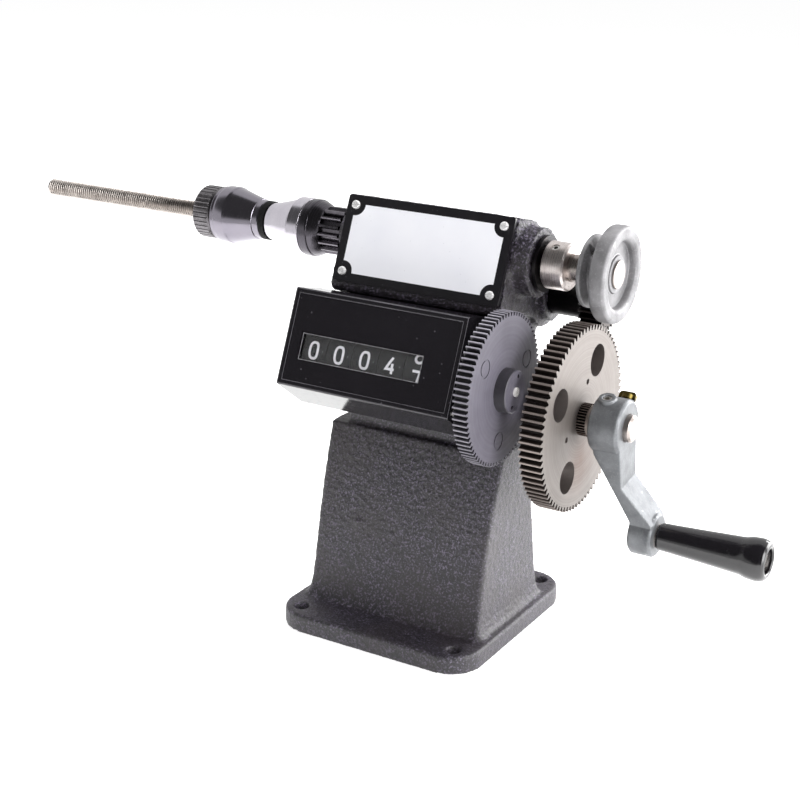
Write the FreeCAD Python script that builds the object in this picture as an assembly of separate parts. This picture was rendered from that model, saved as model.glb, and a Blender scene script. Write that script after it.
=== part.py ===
import FreeCAD, Part
import math
import os

# Hand-cranked wire coil winding machine, in millimetres.
# X runs along the spindle (the threaded rod points to -X, the crank is at +X),
# -Y is the front with the counter and the nameplate, and Z is up.
# The origin is the centre of the base's bolt pattern, on its underside.

V = FreeCAD.Vector

# Fits and gaps shared by several pieces
running_gap = 0.05
body_gap = 0.4
gear_backlash = 0.14

# Base flange of the casting
base_length = 101.0
base_width = 104.0
base_thickness = 8.8
base_corner_r = 15.5
base_edge_r = 1.6
base_hole_x = 80.0
base_hole_y = 86.0
base_hole_r = 3.25

# Pedestal sections: height, half length in X, half width in Y, corner radius
foot_sections = [
    (base_thickness, 47.4, 32.8, 4.4),
    (10.4, 46.0, 31.0, 3.2),
    (14.5, 45.0, 29.4, 2.4),
]
pedestal_sections = [
    (14.5, 45.0, 29.4, 2.4),
    (30.0, 44.5, 26.8, 2.4),
    (46.0, 44.4, 24.0, 2.4),
    (62.0, 44.5, 20.4, 2.4),
    (76.0, 44.7, 16.6, 2.4),
    (90.0, 45.0, 12.2, 2.4),
]
# Neck sections: height, X from, X to, Y from, Y to, corner radius
neck_sections = [
    (84.0, -38.0, 42.0, -9.6, 12.6, 3.0),
    (106.0, -37.5, 42.0, -10.0, 14.5, 3.0),
    (124.0, -37.5, 42.0, -11.0, 18.0, 3.0),
    (152.0, -38.0, 43.0, -14.0, 29.0, 3.0),
]
casting_nub_x = -22.6
casting_nub_y = -23.7
casting_nub_z = 47.3
casting_nub_r = 2.2
casting_nub_out = 1.0

# Shaft heights and gear train: crank shaft, idler shaft, spindle
crank_z = 110.4
drive_module = 1.0
drive_gear_teeth = 80
idler_pinion_teeth = 20
idler_gear_teeth = 40
spindle_gear_teeth = 20
spindle_z = 175.8
crank_idler_distance = drive_module * (drive_gear_teeth + idler_pinion_teeth) / 2
idler_spindle_distance = drive_module * (idler_gear_teeth + spindle_gear_teeth) / 2
axis_rise = spindle_z - crank_z
idler_rise = (crank_idler_distance**2 - idler_spindle_distance**2 + axis_rise**2) / (2 * axis_rise)
idler_y = math.sqrt(crank_idler_distance**2 - idler_rise**2)
idler_z = crank_z + idler_rise

# Nameplate and the leaning front of the head
lean = math.radians(22.0)
up_y = math.sin(lean)
up_z = math.cos(lean)
in_y = math.cos(lean)
in_z = -math.sin(lean)
plate_x0 = -37.0
plate_x1 = 44.8
plate_bottom_y = -24.0
plate_bottom_z = 160.4
plate_height = 38.4
plate_thickness = 1.6
plate_corner_r = 1.0
plate_border = 3.9
panel_thickness = 0.35
plate_screw_inset = 4.4
plate_screw_r = 1.5
plate_screw_length = 7.0
plate_screw_head_r = 1.9
plate_screw_head_height = 1.3
plate_notch_r = 4.7

# Head of the casting: outline behind the nameplate, as seen along X
head_x0 = -39.0
head_x1 = 46.0
head_round_r = 3.0
head_rear = [
    (6.8, 192.3), (14.0, 188.6), (20.5, 181.5), (31.0, 168.0), (34.0, 150.0),
    (24.0, 142.5), (6.0, 149.5),
]
head_chin = [(-12.6, 151.3), (-22.2, 155.3)]
idler_lobe_r = 14.0
spindle_boss_r = 15.5
spindle_boss_right = 54.0
spindle_boss_left_r = 12.0
spindle_boss_left = -42.0
idler_boss_r = 11.0
idler_boss_right = 50.0
crank_boss_r = 10.0
crank_boss_left = -42.0
crank_boss_right = 46.0
gearcase_x0 = -17.0
gearcase_x1 = 5.0
gearcase_r = 26.5
slot_x0 = -12.0
slot_x1 = 0.0
slot_side_gap = 2.0

# Shaft and bush radii
spindle_r = 6.0
rod_r = 4.0
crank_journal_r = 4.0
crank_shaft_r = 6.0
idler_shaft_r = 4.0
spindle_bush_r = 8.0
crank_bush_r = 6.5
idler_bush_r = 6.0
sleeve_r = 7.0
bore_relief = 0.8
spindle_bush_length = 17.0
crank_bush_length = 14.0
idler_bush_length = 16.0

# Spindle, left to right
rod_tip_x = -220.6
rod_shoulder_x = -43.0
rod_neck_r = 3.8
rod_neck_gap = 1.0
spindle_end_x = 88.6
rod_chamfer = 1.2
nut_x0 = -123.2
nut_x1 = -114.0
nut_r = 12.2
nut_groove_count = 36
nut_groove_r = 0.65
nut_edge = 0.9
washer_x1 = -113.0
washer_r = 10.5
outer_cone = [
    (-113.0, 12.0), (-112.2, 12.8), (-110.6, 12.8), (-110.0, 13.3), (-105.0, 13.3),
    (-104.2, 12.9), (-91.2, 9.4), (-91.2, 9.0), (-88.4, 9.0), (-88.0, 8.6),
]
seal_x0 = -87.9
seal_r = 9.0
seal_hole_r = 5.2
inner_cone = [
    (-84.9, 8.1), (-84.3, 8.6), (-70.2, 12.1), (-69.6, 12.8), (-69.0, 13.1),
    (-59.2, 13.1), (-58.6, 12.6), (-56.8, 12.0), (-55.0, 11.1), (-53.6, 9.8),
]
fluted_teeth = 16
fluted_module = 1.2
fluted_x1 = -43.2
collar_x0 = 56.8
collar_x1 = 67.0
collar_r = 10.2
collar_screw_r = 1.8
collar_screw_angle = math.radians(118.0)
bush_flange_left = 0.8
bush_flange_left_r = 9.5
bush_flange_right = 1.7
bush_flange_right_r = 12.1

# Pulley on the spindle's right end: a small V groove and a large hand rim
pulley_profile = [
    (75.4, 15.0), (75.9, 15.5), (77.4, 15.5), (79.0, 11.2), (80.0, 11.2), (81.2, 15.2),
    (82.2, 15.4), (82.6, 16.4), (83.2, 19.8), (84.0, 20.6), (89.2, 20.6), (90.2, 19.8),
    (90.2, 15.6), (89.4, 14.4), (86.6, 14.0), (86.6, 8.2), (87.6, 7.8),
]
pulley_screw_r = 1.8
pulley_screw_out = 10.2
pulley_groove_x = 79.5
pulley_screw_angle = math.radians(122.0)

# Gears in the head
head_gear_x0 = -10.0
head_gear_x1 = -2.0

# Large steel drive gear and what sits in front of it on the crank shaft
drive_gear_x0 = 65.8
drive_gear_x1 = 75.8
drive_hub_x0 = 59.0
drive_hub_r = 12.0
drive_hole_count = 4
drive_hole_r = 7.2
drive_hole_circle_r = 26.3
drive_hole_angle = math.radians(61.5)
drive_dowel_count = 3
drive_dowel_r = 1.3
drive_dowel_circle_r = 16.2
drive_dowel_angle = math.radians(78.0)
ring_teeth = 34
ring_module = 0.4
ring_x1 = 79.8
spacer_r = 6.6
spacer_x1 = 83.0

# Crank: hub, joggled arm, boss, handle
crank_hub_x1 = 97.0
crank_hub_r = 12.2
crank_stub_x = 99.8
crank_left_x = -50.0
crank_step_x = 56.2
crank_radius = 50.2
crank_angle = math.radians(-79.9)
arm_side = [
    (83.0, -3.0), (97.0, -3.0), (97.0, 26.0), (110.2, 42.0), (110.2, 51.0),
    (100.0, 51.0), (100.0, 42.0), (84.5, 11.0),
]
arm_width_hub = 19.0
arm_width_boss = 13.0
handle_boss_r = 9.8
handle_boss_x0 = 99.6
handle_boss_x1 = 110.6
hub_boss_r = 3.9
hub_boss_out = 13.4
hub_boss_x = 88.0
hub_boss_angle = math.radians(104.0)
grub_r = 2.0
thumb_angle = math.radians(48.0)
thumb_x = 92.0
thumb_shank_r = 2.0
thumb_head_r = 2.6
thumb_head_out = 14.8
thumb_wing_span = 7.6
thumb_wing_height = 3.6
thumb_wing_thickness = 1.8
thumb_wing_sink = 2.2
thumb_wing_round = 1.6
left_collar_r = 8.0
left_collar_x0 = -49.0
left_collar_x1 = -43.2
pin_r = 3.5
pin_shoulder_r = 5.4
pin_shoulder_x1 = 111.2
pin_head_r = 4.6
pin_head_x0 = 155.8
pin_head_x1 = 158.4
pin_slot_width = 1.2
pin_slot_depth = 1.0
grip_profile = [
    (111.5, 5.4), (112.3, 6.1), (126.8, 6.9), (141.6, 7.8), (149.6, 8.4),
    (152.2, 9.1), (156.4, 9.4), (159.4, 8.6), (160.4, 6.8),
]
grip_recess_r = 5.2
grip_recess_x = 155.5

# Counter: a leaning moulded box with five number wheels
counter_x0 = -43.0
counter_x1 = 41.8
counter_cover = 2.0
counter_screw_inset = 4.5
counter_screw_r = 1.2
counter_screw_head_r = 2.0
counter_screw_head = 0.8
counter_outline = [
    (-58.5, 120.6), (-42.3, 160.0), (-26.0, 156.2), (-14.0, 151.0), (-14.0, 116.0),
    (-38.7, 106.2),
]
counter_wall = 1.8
counter_edge = 0.9
counter_module = 0.8
counter_gear_teeth = 80
counter_pinion_teeth = 16
counter_gear_x0 = 48.0
counter_gear_x1 = 54.4
counter_hub_x1 = 59.7
counter_hub_r = 9.1
counter_hub_hole_r = 0.9
counter_hub_hole_circle_r = 6.6
counter_hub_hole_angle = math.radians(70.0)
counter_pinion_x0 = 46.5
counter_pinion_x1 = 55.6
mould_mark_r = 4.0
mould_mark_inner_r = 3.4
mould_mark_depth = 0.3
mould_mark_circle_r = 22.0
mould_mark_count = 3
mould_mark_angle = math.radians(22.0)
counter_direction = math.radians(151.2)
counter_distance = counter_module * (counter_gear_teeth + counter_pinion_teeth) / 2
counter_y = counter_distance * math.cos(counter_direction)
counter_z = crank_z + counter_distance * math.sin(counter_direction)
counter_shaft_r = 2.0
counter_shaft_x0 = -42.4
counter_shaft_x1 = 60.6
counter_boss_r = 5.0
counter_boss_x1 = 47.4
wheel_first_x = -29.4
wheel_pitch = 12.8
wheel_width = 12.2
wheel_r = 17.0
wheel_rim = 2.0
wheel_web = 3.0
wheel_hub_r = 5.0
window_x0 = -34.8
window_x1 = 24.4
window_low = 12.3
window_high = 23.4
window_edge = 1.0
window_step = 0.5
pane_thickness = 0.8
train_module = 0.6
train_large_teeth = 24
train_small_teeth = 12
train_addendum = 0.85
train_distance = train_module * (train_large_teeth + train_small_teeth) / 2
train_direction = math.radians(-103.0)
train_y = counter_y + train_distance * math.cos(train_direction)
train_z = counter_z + train_distance * math.sin(train_direction)
stud_r = 1.5
stud_x0 = 28.5
layshaft_large_x0 = 28.7
layshaft_large_x1 = 32.2
layshaft_small_x0 = 34.2
layshaft_small_x1 = 37.8
layshaft_hub_r = 2.6
units_pinion_x1 = 32.4
input_gear_x0 = 34.0
input_gear_x1 = 38.0

# Bracket between the neck and the counter
bracket_x0 = -28.0
bracket_x1 = 30.0
bracket_z0 = 118.0
bracket_z1 = 146.0
bracket_screw_x = 20.0
bracket_screw_z = 132.0
bracket_screw_r = 2.0

# Rear gear cover
cover_thickness = 1.8
cover_start_y = 26.0
cover_screw_r = 1.5
cover_screw_head_r = 2.9
cover_screw_head = 1.8
cover_screw_depth = 4.0
cover_screw_angle = math.radians(58.0)


def cylinder(start, direction, radius, length):
    return Part.makeCylinder(radius, length, start, direction)


def cylinder_x(radius, x0, x1, y, z):
    return cylinder(V(x0, y, z), V(1, 0, 0), radius, x1 - x0)


def ring_x(outer, inner, x0, x1, y, z):
    return cylinder_x(outer, x0, x1, y, z).cut(cylinder_x(inner, x0 - 1, x1 + 1, y, z))


def prism_x(points, x0, x1):
    corners = [V(x0, y, z) for y, z in points]
    face = Part.Face(Part.makePolygon(corners + corners[:1]))
    return face.extrude(V(x1 - x0, 0, 0))


def turned_x(profile, y, z, bore=0.0):
    """A turned piece: its outline is (x, radius) pairs, and its bore goes right through."""
    outline = [V(x, r, 0) for x, r in profile]
    closed = [V(profile[0][0], bore, 0)] + outline + [V(profile[-1][0], bore, 0)]
    face = Part.Face(Part.makePolygon(closed + closed[:1]))
    solid = face.revolve(V(0, 0, 0), V(1, 0, 0), 360)
    solid.translate(V(0, y, z))
    return solid


def fuse(shapes):
    joined = shapes[0]
    for shape in shapes[1:]:
        joined = joined.fuse(shape)
    return joined.removeSplitter()


def cut(shape, tools):
    for tool in tools:
        shape = shape.cut(tool)
    return shape


def rounded_rectangle(x0, x1, y0, y1, radius, z):
    """A closed wire at height z with rounded corners."""
    k = radius * math.sqrt(0.5)
    centres = [
        (x1 - radius, y1 - radius, 1, 1),
        (x0 + radius, y1 - radius, -1, 1),
        (x0 + radius, y0 + radius, -1, -1),
        (x1 - radius, y0 + radius, 1, -1),
    ]
    edges = []
    last = None
    first = None
    for cx, cy, sx, sy in centres:
        along_x = V(cx + sx * radius, cy, z)
        along_y = V(cx, cy + sy * radius, z)
        middle = V(cx + sx * k, cy + sy * k, z)
        start, end = (along_x, along_y) if sx * sy > 0 else (along_y, along_x)
        if last is not None:
            edges.append(Part.LineSegment(last, start).toShape())
        else:
            first = start
        edges.append(Part.Arc(start, middle, end).toShape())
        last = end
    edges.append(Part.LineSegment(last, first).toShape())
    return Part.Wire(edges)


def edges_along(shape, axis, above=-1e9):
    """Straight edges of a shape that run along one axis and lie above a height."""
    found = []
    for edge in shape.Edges:
        if len(edge.Vertexes) != 2:
            continue
        run = edge.Vertexes[1].Point.sub(edge.Vertexes[0].Point)
        if run.Length > 0 and abs(run.dot(axis)) / run.Length > 0.999:
            if edge.CenterOfMass.z > above:
                found.append(edge)
    return found


def involute(angle):
    return math.tan(angle) - angle


def gear_x(teeth, module, x0, x1, y, z, phase, bore, pressure=20.0, addendum=1.0, dedendum=1.25):
    """A spur gear about X. One tooth's middle lies at the phase angle, counted from +Y towards +Z."""
    pitch_r = module * teeth / 2
    base_r = pitch_r * math.cos(math.radians(pressure))
    tip_r = pitch_r + addendum * module
    root_r = pitch_r - dedendum * module
    half_tooth = math.pi / (2 * teeth) - gear_backlash / (4 * pitch_r)
    at_pitch = involute(math.radians(pressure))
    flank = []
    start_r = max(base_r, root_r)
    steps = 4
    for i in range(steps + 1):
        r = start_r + (tip_r - start_r) * i / steps
        half = half_tooth + at_pitch - involute(math.acos(min(1.0, base_r / r)))
        flank.append((r, half))
    if root_r < base_r:
        flank.insert(0, (root_r, flank[0][1]))
    points = []
    for k in range(teeth):
        middle = phase + 2 * math.pi * k / teeth
        rising = [(r, middle - half) for r, half in flank]
        falling = [(r, middle + half) for r, half in reversed(flank)]
        points += [(y + r * math.cos(a), z + r * math.sin(a)) for r, a in rising + falling]
    solid = prism_x(points, x0, x1)
    if bore:
        solid = solid.cut(cylinder_x(bore, x0 - 1, x1 + 1, y, z))
    return solid


def mesh_phase(teeth, module, phase, y, z, other_teeth, other_y, other_z):
    """The phase that puts the other gear's tooth into this gear's gap."""
    pitch_r = module * teeth / 2
    other_r = module * other_teeth / 2
    line = math.atan2(other_z - z, other_y - y)
    offset = pitch_r * (phase - line)
    return line + math.pi - (offset + math.pi * module / 2) / other_r


def on_circle(radius, angle, y, z):
    return y + radius * math.cos(angle), z + radius * math.sin(angle)


def radial_cylinder(radius, x, y, z, angle, inner, outer):
    """A cylinder that stands out from a shaft, between two distances from its axis."""
    cy, cz = on_circle(inner, angle, y, z)
    return cylinder(V(x, cy, cz), V(0, math.cos(angle), math.sin(angle)), radius, outer - inner)


def on_front(up, inward):
    """A point of the head's leaning front: up from the nameplate's lower edge, and into the head."""
    return (
        plate_bottom_y + up * up_y + inward * in_y,
        plate_bottom_z + up * up_z + inward * in_z,
    )


def front_box(x0, x1, up0, up1, inward0, inward1):
    corners = [on_front(up0, inward0), on_front(up1, inward0), on_front(up1, inward1), on_front(up0, inward1)]
    return prism_x(corners, x0, x1)


def front_cylinder(x, up, inward0, inward1, radius):
    y, z = on_front(up, inward0)
    return cylinder(V(x, y, z), V(0, in_y, in_z), radius, inward1 - inward0)


pieces = {}

# Gear phases: the first gear of each pair is free, and the other follows it
drive_phase = 0.0
idler_pinion_phase = mesh_phase(
    drive_gear_teeth, drive_module, drive_phase, 0, crank_z, idler_pinion_teeth, idler_y, idler_z
)
idler_gear_phase = 0.0
spindle_gear_phase = mesh_phase(
    idler_gear_teeth, drive_module, idler_gear_phase, idler_y, idler_z, spindle_gear_teeth, 0, spindle_z
)
counter_pinion_phase = 0.0
counter_gear_phase = mesh_phase(
    counter_pinion_teeth, counter_module, counter_pinion_phase, 0, crank_z,
    counter_gear_teeth, counter_y, counter_z,
)
input_phase = 0.0
layshaft_small_phase = mesh_phase(
    train_large_teeth, train_module, input_phase, counter_y, counter_z, train_small_teeth, train_y, train_z
)
layshaft_large_phase = 0.0
units_phase = mesh_phase(
    train_large_teeth, train_module, layshaft_large_phase, train_y, train_z,
    train_small_teeth, counter_y, counter_z,
)

# Casting: base flange, flared foot, tapered pedestal, neck and leaning head in one piece
outline = rounded_rectangle(
    -base_length / 2, base_length / 2, -base_width / 2, base_width / 2, base_corner_r, 0
)
base = Part.Face(outline).extrude(V(0, 0, base_thickness))
rim = [e for e in base.Edges if e.BoundBox.ZMin > base_thickness - 0.01]
base = base.makeFillet(base_edge_r, rim)
foot = Part.makeLoft(
    [rounded_rectangle(-hx, hx, -hy, hy, r, z) for z, hx, hy, r in foot_sections], True, True
)
pedestal = Part.makeLoft(
    [rounded_rectangle(-hx, hx, -hy, hy, r, z) for z, hx, hy, r in pedestal_sections], True, False
)
neck = Part.makeLoft(
    [rounded_rectangle(x0, x1, y0, y1, r, z) for z, x0, x1, y0, y1, r in neck_sections], True, False
)
head_front = [on_front(-1.4, plate_thickness), on_front(plate_height + 0.8, plate_thickness)]
head = prism_x(head_front + head_rear + head_chin, head_x0, head_x1)
head = head.makeFillet(head_round_r, edges_along(head, V(1, 0, 0)))
lobes = [
    cylinder_x(idler_lobe_r, head_x0, head_x1, idler_y, idler_z),
    cylinder_x(gearcase_r, gearcase_x0, gearcase_x1, idler_y, idler_z),
    cylinder_x(spindle_boss_left_r, spindle_boss_left, head_x0 + 1, 0, spindle_z),
    cylinder_x(spindle_boss_r, head_x1 - 1, spindle_boss_right, 0, spindle_z),
    cylinder_x(idler_boss_r, head_x0, idler_boss_right, idler_y, idler_z),
    cylinder_x(crank_boss_r, crank_boss_left, crank_boss_right, 0, crank_z),
]
nub_middle_y = casting_nub_y + casting_nub_r - casting_nub_out
nub = Part.makeSphere(casting_nub_r, V(casting_nub_x, nub_middle_y, casting_nub_z))
casting = fuse([base, foot, pedestal, neck, head] + lobes + [nub])
slot_r = drive_module * (idler_gear_teeth / 2 + 1) + slot_side_gap
spindle_slot_r = drive_module * (spindle_gear_teeth / 2 + 1) + slot_side_gap
gear_window = cylinder_x(gearcase_r + 4, slot_x0, slot_x1, idler_y, idler_z)
gear_window = gear_window.common(Part.makeBox(100, 60, 100, V(slot_x0, cover_start_y + 1, idler_z - 50)))
holes = [
    cylinder_x(slot_r, slot_x0, slot_x1, idler_y, idler_z),
    cylinder_x(spindle_slot_r, slot_x0, slot_x1, 0, spindle_z),
    gear_window,
    cylinder_x(spindle_r + bore_relief, spindle_boss_left - 1, spindle_boss_right + 1, 0, spindle_z),
    cylinder_x(idler_shaft_r + bore_relief, head_x0 + 6, idler_boss_right + 1, idler_y, idler_z),
    cylinder_x(crank_journal_r + bore_relief, crank_boss_left - 1, crank_boss_right + 1, 0, crank_z),
]
holes += [
    cylinder_x(spindle_bush_r, spindle_boss_left - 1, spindle_boss_left + spindle_bush_length, 0, spindle_z),
    cylinder_x(
        spindle_bush_r, spindle_boss_right - spindle_bush_length, spindle_boss_right + 1, 0, spindle_z
    ),
    cylinder_x(crank_bush_r, crank_boss_left - 1, crank_boss_left + crank_bush_length, 0, crank_z),
    cylinder_x(crank_bush_r, crank_boss_right - crank_bush_length, crank_boss_right + 1, 0, crank_z),
    cylinder_x(idler_bush_r, head_x0 + 6, head_x0 + 6 + idler_bush_length, idler_y, idler_z),
    cylinder_x(idler_bush_r, idler_boss_right - idler_bush_length, idler_boss_right + 1, idler_y, idler_z),
]
for sx in (-1, 1):
    for sy in (-1, 1):
        foot_hole = V(sx * base_hole_x / 2, sy * base_hole_y / 2, -1)
        holes.append(cylinder(foot_hole, V(0, 0, 1), base_hole_r, base_thickness + 2))
plate_screw_points = [
    (x, up)
    for x in (plate_x0 + plate_screw_inset, plate_x1 - plate_screw_inset)
    for up in (plate_screw_inset, plate_height - plate_screw_inset)
]
for x, up in plate_screw_points:
    holes.append(front_cylinder(x, up, 0, plate_screw_length, plate_screw_r))
for x in (-bracket_screw_x, bracket_screw_x):
    holes.append(cylinder(V(x, -20, bracket_screw_z), V(0, 1, 0), bracket_screw_r, 18))
cover_screw_spots = [
    (x, angle)
    for x in ((gearcase_x0 + slot_x0) / 2, (gearcase_x1 + slot_x1) / 2)
    for angle in (-cover_screw_angle, cover_screw_angle)
]
for x, angle in cover_screw_spots:
    deepest = gearcase_r - cover_screw_depth
    holes.append(radial_cylinder(cover_screw_r, x, idler_y, idler_z, angle, deepest, gearcase_r + 6))
pieces["body_casting"] = cut(casting, holes)

# Bushes pressed into the casting
left = spindle_boss_left
bush = ring_x(spindle_bush_r, spindle_r + running_gap, left, left + spindle_bush_length, 0, spindle_z)
flange = ring_x(bush_flange_left_r, spindle_r + running_gap, left - bush_flange_left, left, 0, spindle_z)
pieces["spindle_bush_left"] = fuse([bush, flange])
right = spindle_boss_right
bush = ring_x(spindle_bush_r, spindle_r + running_gap, right - spindle_bush_length, right, 0, spindle_z)
flange = ring_x(bush_flange_right_r, spindle_r + running_gap, right, right + bush_flange_right, 0, spindle_z)
pieces["spindle_bush_right"] = fuse([bush, flange])
crank_bore = crank_journal_r + running_gap
pieces["crank_bush_left"] = ring_x(
    crank_bush_r, crank_bore, crank_boss_left, crank_boss_left + crank_bush_length, 0, crank_z
)
pieces["crank_bush_right"] = ring_x(
    crank_bush_r, crank_bore, crank_boss_right - crank_bush_length, crank_boss_right, 0, crank_z
)
idler_bore = idler_shaft_r + running_gap
pieces["idler_bush_left"] = ring_x(
    idler_bush_r, idler_bore, head_x0 + 6, head_x0 + 6 + idler_bush_length, idler_y, idler_z
)
sleeve_x1 = drive_gear_x0 - body_gap
spigot = ring_x(
    idler_bush_r, idler_bore, idler_boss_right - idler_bush_length, idler_boss_right, idler_y, idler_z
)
sleeve = ring_x(sleeve_r, idler_bore, idler_boss_right, sleeve_x1, idler_y, idler_z)
pieces["idler_sleeve"] = fuse([spigot, sleeve])

# Rear gear cover and its screws
cover_r = gearcase_r + cover_thickness
cover = ring_x(cover_r, gearcase_r, gearcase_x0, gearcase_x1, idler_y, idler_z)
cover = cover.common(Part.makeBox(100, 60, 100, V(gearcase_x0 - 10, cover_start_y, idler_z - 50)))
screws = []
for x, angle in cover_screw_spots:
    hole = radial_cylinder(cover_screw_r, x, idler_y, idler_z, angle, gearcase_r - 5, cover_r + 5)
    cover = cover.cut(hole)
    shank = radial_cylinder(
        cover_screw_r, x, idler_y, idler_z, angle, gearcase_r - cover_screw_depth, cover_r + 0.2
    )
    screw_head = radial_cylinder(
        cover_screw_head_r, x, idler_y, idler_z, angle, cover_r, cover_r + cover_screw_head
    )
    screws.append(shank.fuse(screw_head))
pieces["gear_cover"] = cover
pieces["gear_cover_screws"] = Part.makeCompound(screws)

# Nameplate, its bare panel and its four screws
plate = front_box(plate_x0, plate_x1, 0, plate_height, 0, plate_thickness)
plate = plate.makeFillet(plate_corner_r, edges_along(plate, V(0, in_y, in_z)))
panel = front_box(
    plate_x0 + plate_border,
    plate_x1 - plate_border,
    plate_border,
    plate_height - plate_border,
    0,
    panel_thickness,
)
screws = []
for x, up in plate_screw_points:
    panel = panel.cut(front_cylinder(x, up, -1, 1, plate_notch_r))
    shank = front_cylinder(x, up, 0, plate_screw_length, plate_screw_r)
    button = front_cylinder(x, up, -plate_screw_head_height, 0, plate_screw_head_r)
    tops = [e for e in button.Edges if e.Curve.TypeId == "Part::GeomCircle"]
    outer = min(tops, key=lambda e: e.CenterOfMass.y * in_y + e.CenterOfMass.z * in_z)
    button = button.makeFillet(0.7, [outer])
    slot = front_box(x - plate_screw_head_r, x + plate_screw_head_r, up - 0.3, up + 0.3, -2, -0.8)
    screws.append(shank.fuse(button).cut(slot))
plate = plate.cut(panel)
for x, up in plate_screw_points:
    plate = plate.cut(front_cylinder(x, up, -1, plate_thickness + 1, plate_screw_r))
pieces["nameplate"] = plate
pieces["nameplate_panel"] = panel
pieces["nameplate_screws"] = Part.makeCompound(screws)

# Spindle: threaded rod and ground shaft turned from one bar, a little smaller behind the nut
rod_neck_x = nut_x0 - rod_neck_gap
pieces["spindle_shaft"] = turned_x(
    [
        (rod_tip_x, rod_r - rod_chamfer),
        (rod_tip_x + rod_chamfer, rod_r),
        (rod_neck_x, rod_r),
        (rod_neck_x, rod_neck_r),
        (rod_shoulder_x, rod_neck_r),
        (rod_shoulder_x, spindle_r),
        (spindle_end_x - 0.8, spindle_r),
        (spindle_end_x, spindle_r - 0.8),
    ],
    0,
    spindle_z,
)

# Winding clamp: knurled nut, washer and outer cone slide along the rod together
rod_hole = rod_r + running_gap
nut = turned_x(
    [
        (nut_x0, nut_r - nut_edge),
        (nut_x0 + nut_edge, nut_r),
        (nut_x1 - nut_edge, nut_r),
        (nut_x1, nut_r - nut_edge),
    ],
    0,
    spindle_z,
    rod_hole,
)
grooves = []
for k in range(nut_groove_count):
    gy, gz = on_circle(nut_r + nut_groove_r * 0.35, 2 * math.pi * k / nut_groove_count, 0, spindle_z)
    grooves.append(cylinder_x(nut_groove_r, nut_x0 - 1, nut_x1 + 1, gy, gz))
pieces["winding_nut"] = nut.cut(Part.makeCompound(grooves))
pieces["clamp_washer"] = ring_x(washer_r, rod_hole, nut_x1, washer_x1, 0, spindle_z)
pieces["outer_cone"] = turned_x(outer_cone, 0, spindle_z, rod_hole)
pieces["seal_ring"] = ring_x(seal_r, seal_hole_r, seal_x0, inner_cone[0][0], 0, spindle_z)
pieces["inner_cone"] = turned_x(inner_cone, 0, spindle_z, rod_neck_r)
pieces["fluted_pinion"] = gear_x(
    fluted_teeth, fluted_module, inner_cone[-1][0], fluted_x1, 0, spindle_z, 0.0, rod_neck_r
)

# Spindle gear, collar and pulley
pieces["spindle_gear"] = gear_x(
    spindle_gear_teeth, drive_module, head_gear_x0, head_gear_x1, 0, spindle_z, spindle_gear_phase, spindle_r
)
collar_middle = (collar_x0 + collar_x1) / 2 - 0.6
collar = turned_x(
    [
        (collar_x0, collar_r - 0.5),
        (collar_x0 + 0.5, collar_r),
        (collar_x1 - 0.8, collar_r),
        (collar_x1, collar_r - 0.8),
    ],
    0,
    spindle_z,
    spindle_r,
)
collar_screw = radial_cylinder(
    collar_screw_r, collar_middle, 0, spindle_z, collar_screw_angle, spindle_r, collar_r - 0.5
)
pieces["collar"] = collar.cut(
    radial_cylinder(
        collar_screw_r, collar_middle, 0, spindle_z, collar_screw_angle, spindle_r - 1, collar_r + 1
    )
)
socket = radial_cylinder(0.9, collar_middle, 0, spindle_z, collar_screw_angle, collar_r - 2.4, collar_r)
pieces["collar_set_screw"] = collar_screw.cut(socket)
pulley = turned_x(pulley_profile, 0, spindle_z, spindle_r)
pulley_hole = radial_cylinder(
    pulley_screw_r, pulley_groove_x, 0, spindle_z, pulley_screw_angle, spindle_r - 1, 16
)
pieces["pulley"] = pulley.cut(pulley_hole)
pieces["pulley_set_screw"] = radial_cylinder(
    pulley_screw_r, pulley_groove_x, 0, spindle_z, pulley_screw_angle, spindle_r, pulley_screw_out
)

# Idler: one shaft that carries the pinion outside the head and the gear inside it
pieces["idler_shaft"] = cylinder_x(idler_shaft_r, head_x0 + 6.5, drive_gear_x1 + 0.6, idler_y, idler_z)
pieces["idler_pinion"] = gear_x(
    idler_pinion_teeth, drive_module, drive_gear_x0, drive_gear_x1, idler_y, idler_z,
    idler_pinion_phase, idler_shaft_r,
)
pieces["idler_gear"] = gear_x(
    idler_gear_teeth, drive_module, head_gear_x0, head_gear_x1, idler_y, idler_z,
    idler_gear_phase, idler_shaft_r,
)

# Crank shaft and what is fixed to it
pieces["crank_shaft"] = turned_x(
    [
        (crank_left_x, crank_journal_r - 0.5),
        (crank_left_x + 0.5, crank_journal_r),
        (crank_step_x, crank_journal_r),
        (crank_step_x, crank_shaft_r),
        (crank_stub_x - 0.8, crank_shaft_r),
        (crank_stub_x, crank_shaft_r - 0.8),
    ],
    0,
    crank_z,
)
pieces["shaft_end_collar"] = ring_x(
    left_collar_r, crank_journal_r, left_collar_x0, left_collar_x1, 0, crank_z
)
pieces["counter_pinion"] = gear_x(
    counter_pinion_teeth,
    counter_module,
    counter_pinion_x0,
    counter_pinion_x1,
    0,
    crank_z,
    counter_pinion_phase,
    crank_journal_r,
    addendum=0.9,
)
drive_gear = gear_x(
    drive_gear_teeth, drive_module, drive_gear_x0, drive_gear_x1, 0, crank_z, drive_phase, 0
)
drive_gear = drive_gear.fuse(cylinder_x(drive_hub_r, drive_hub_x0, drive_gear_x0, 0, crank_z))
openings = [cylinder_x(crank_shaft_r, drive_hub_x0 - 1, drive_gear_x1 + 1, 0, crank_z)]
for k in range(drive_hole_count):
    angle = drive_hole_angle + 2 * math.pi * k / drive_hole_count
    hy, hz = on_circle(drive_hole_circle_r, angle, 0, crank_z)
    openings.append(cylinder_x(drive_hole_r, drive_gear_x0 - 1, drive_gear_x1 + 1, hy, hz))
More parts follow.
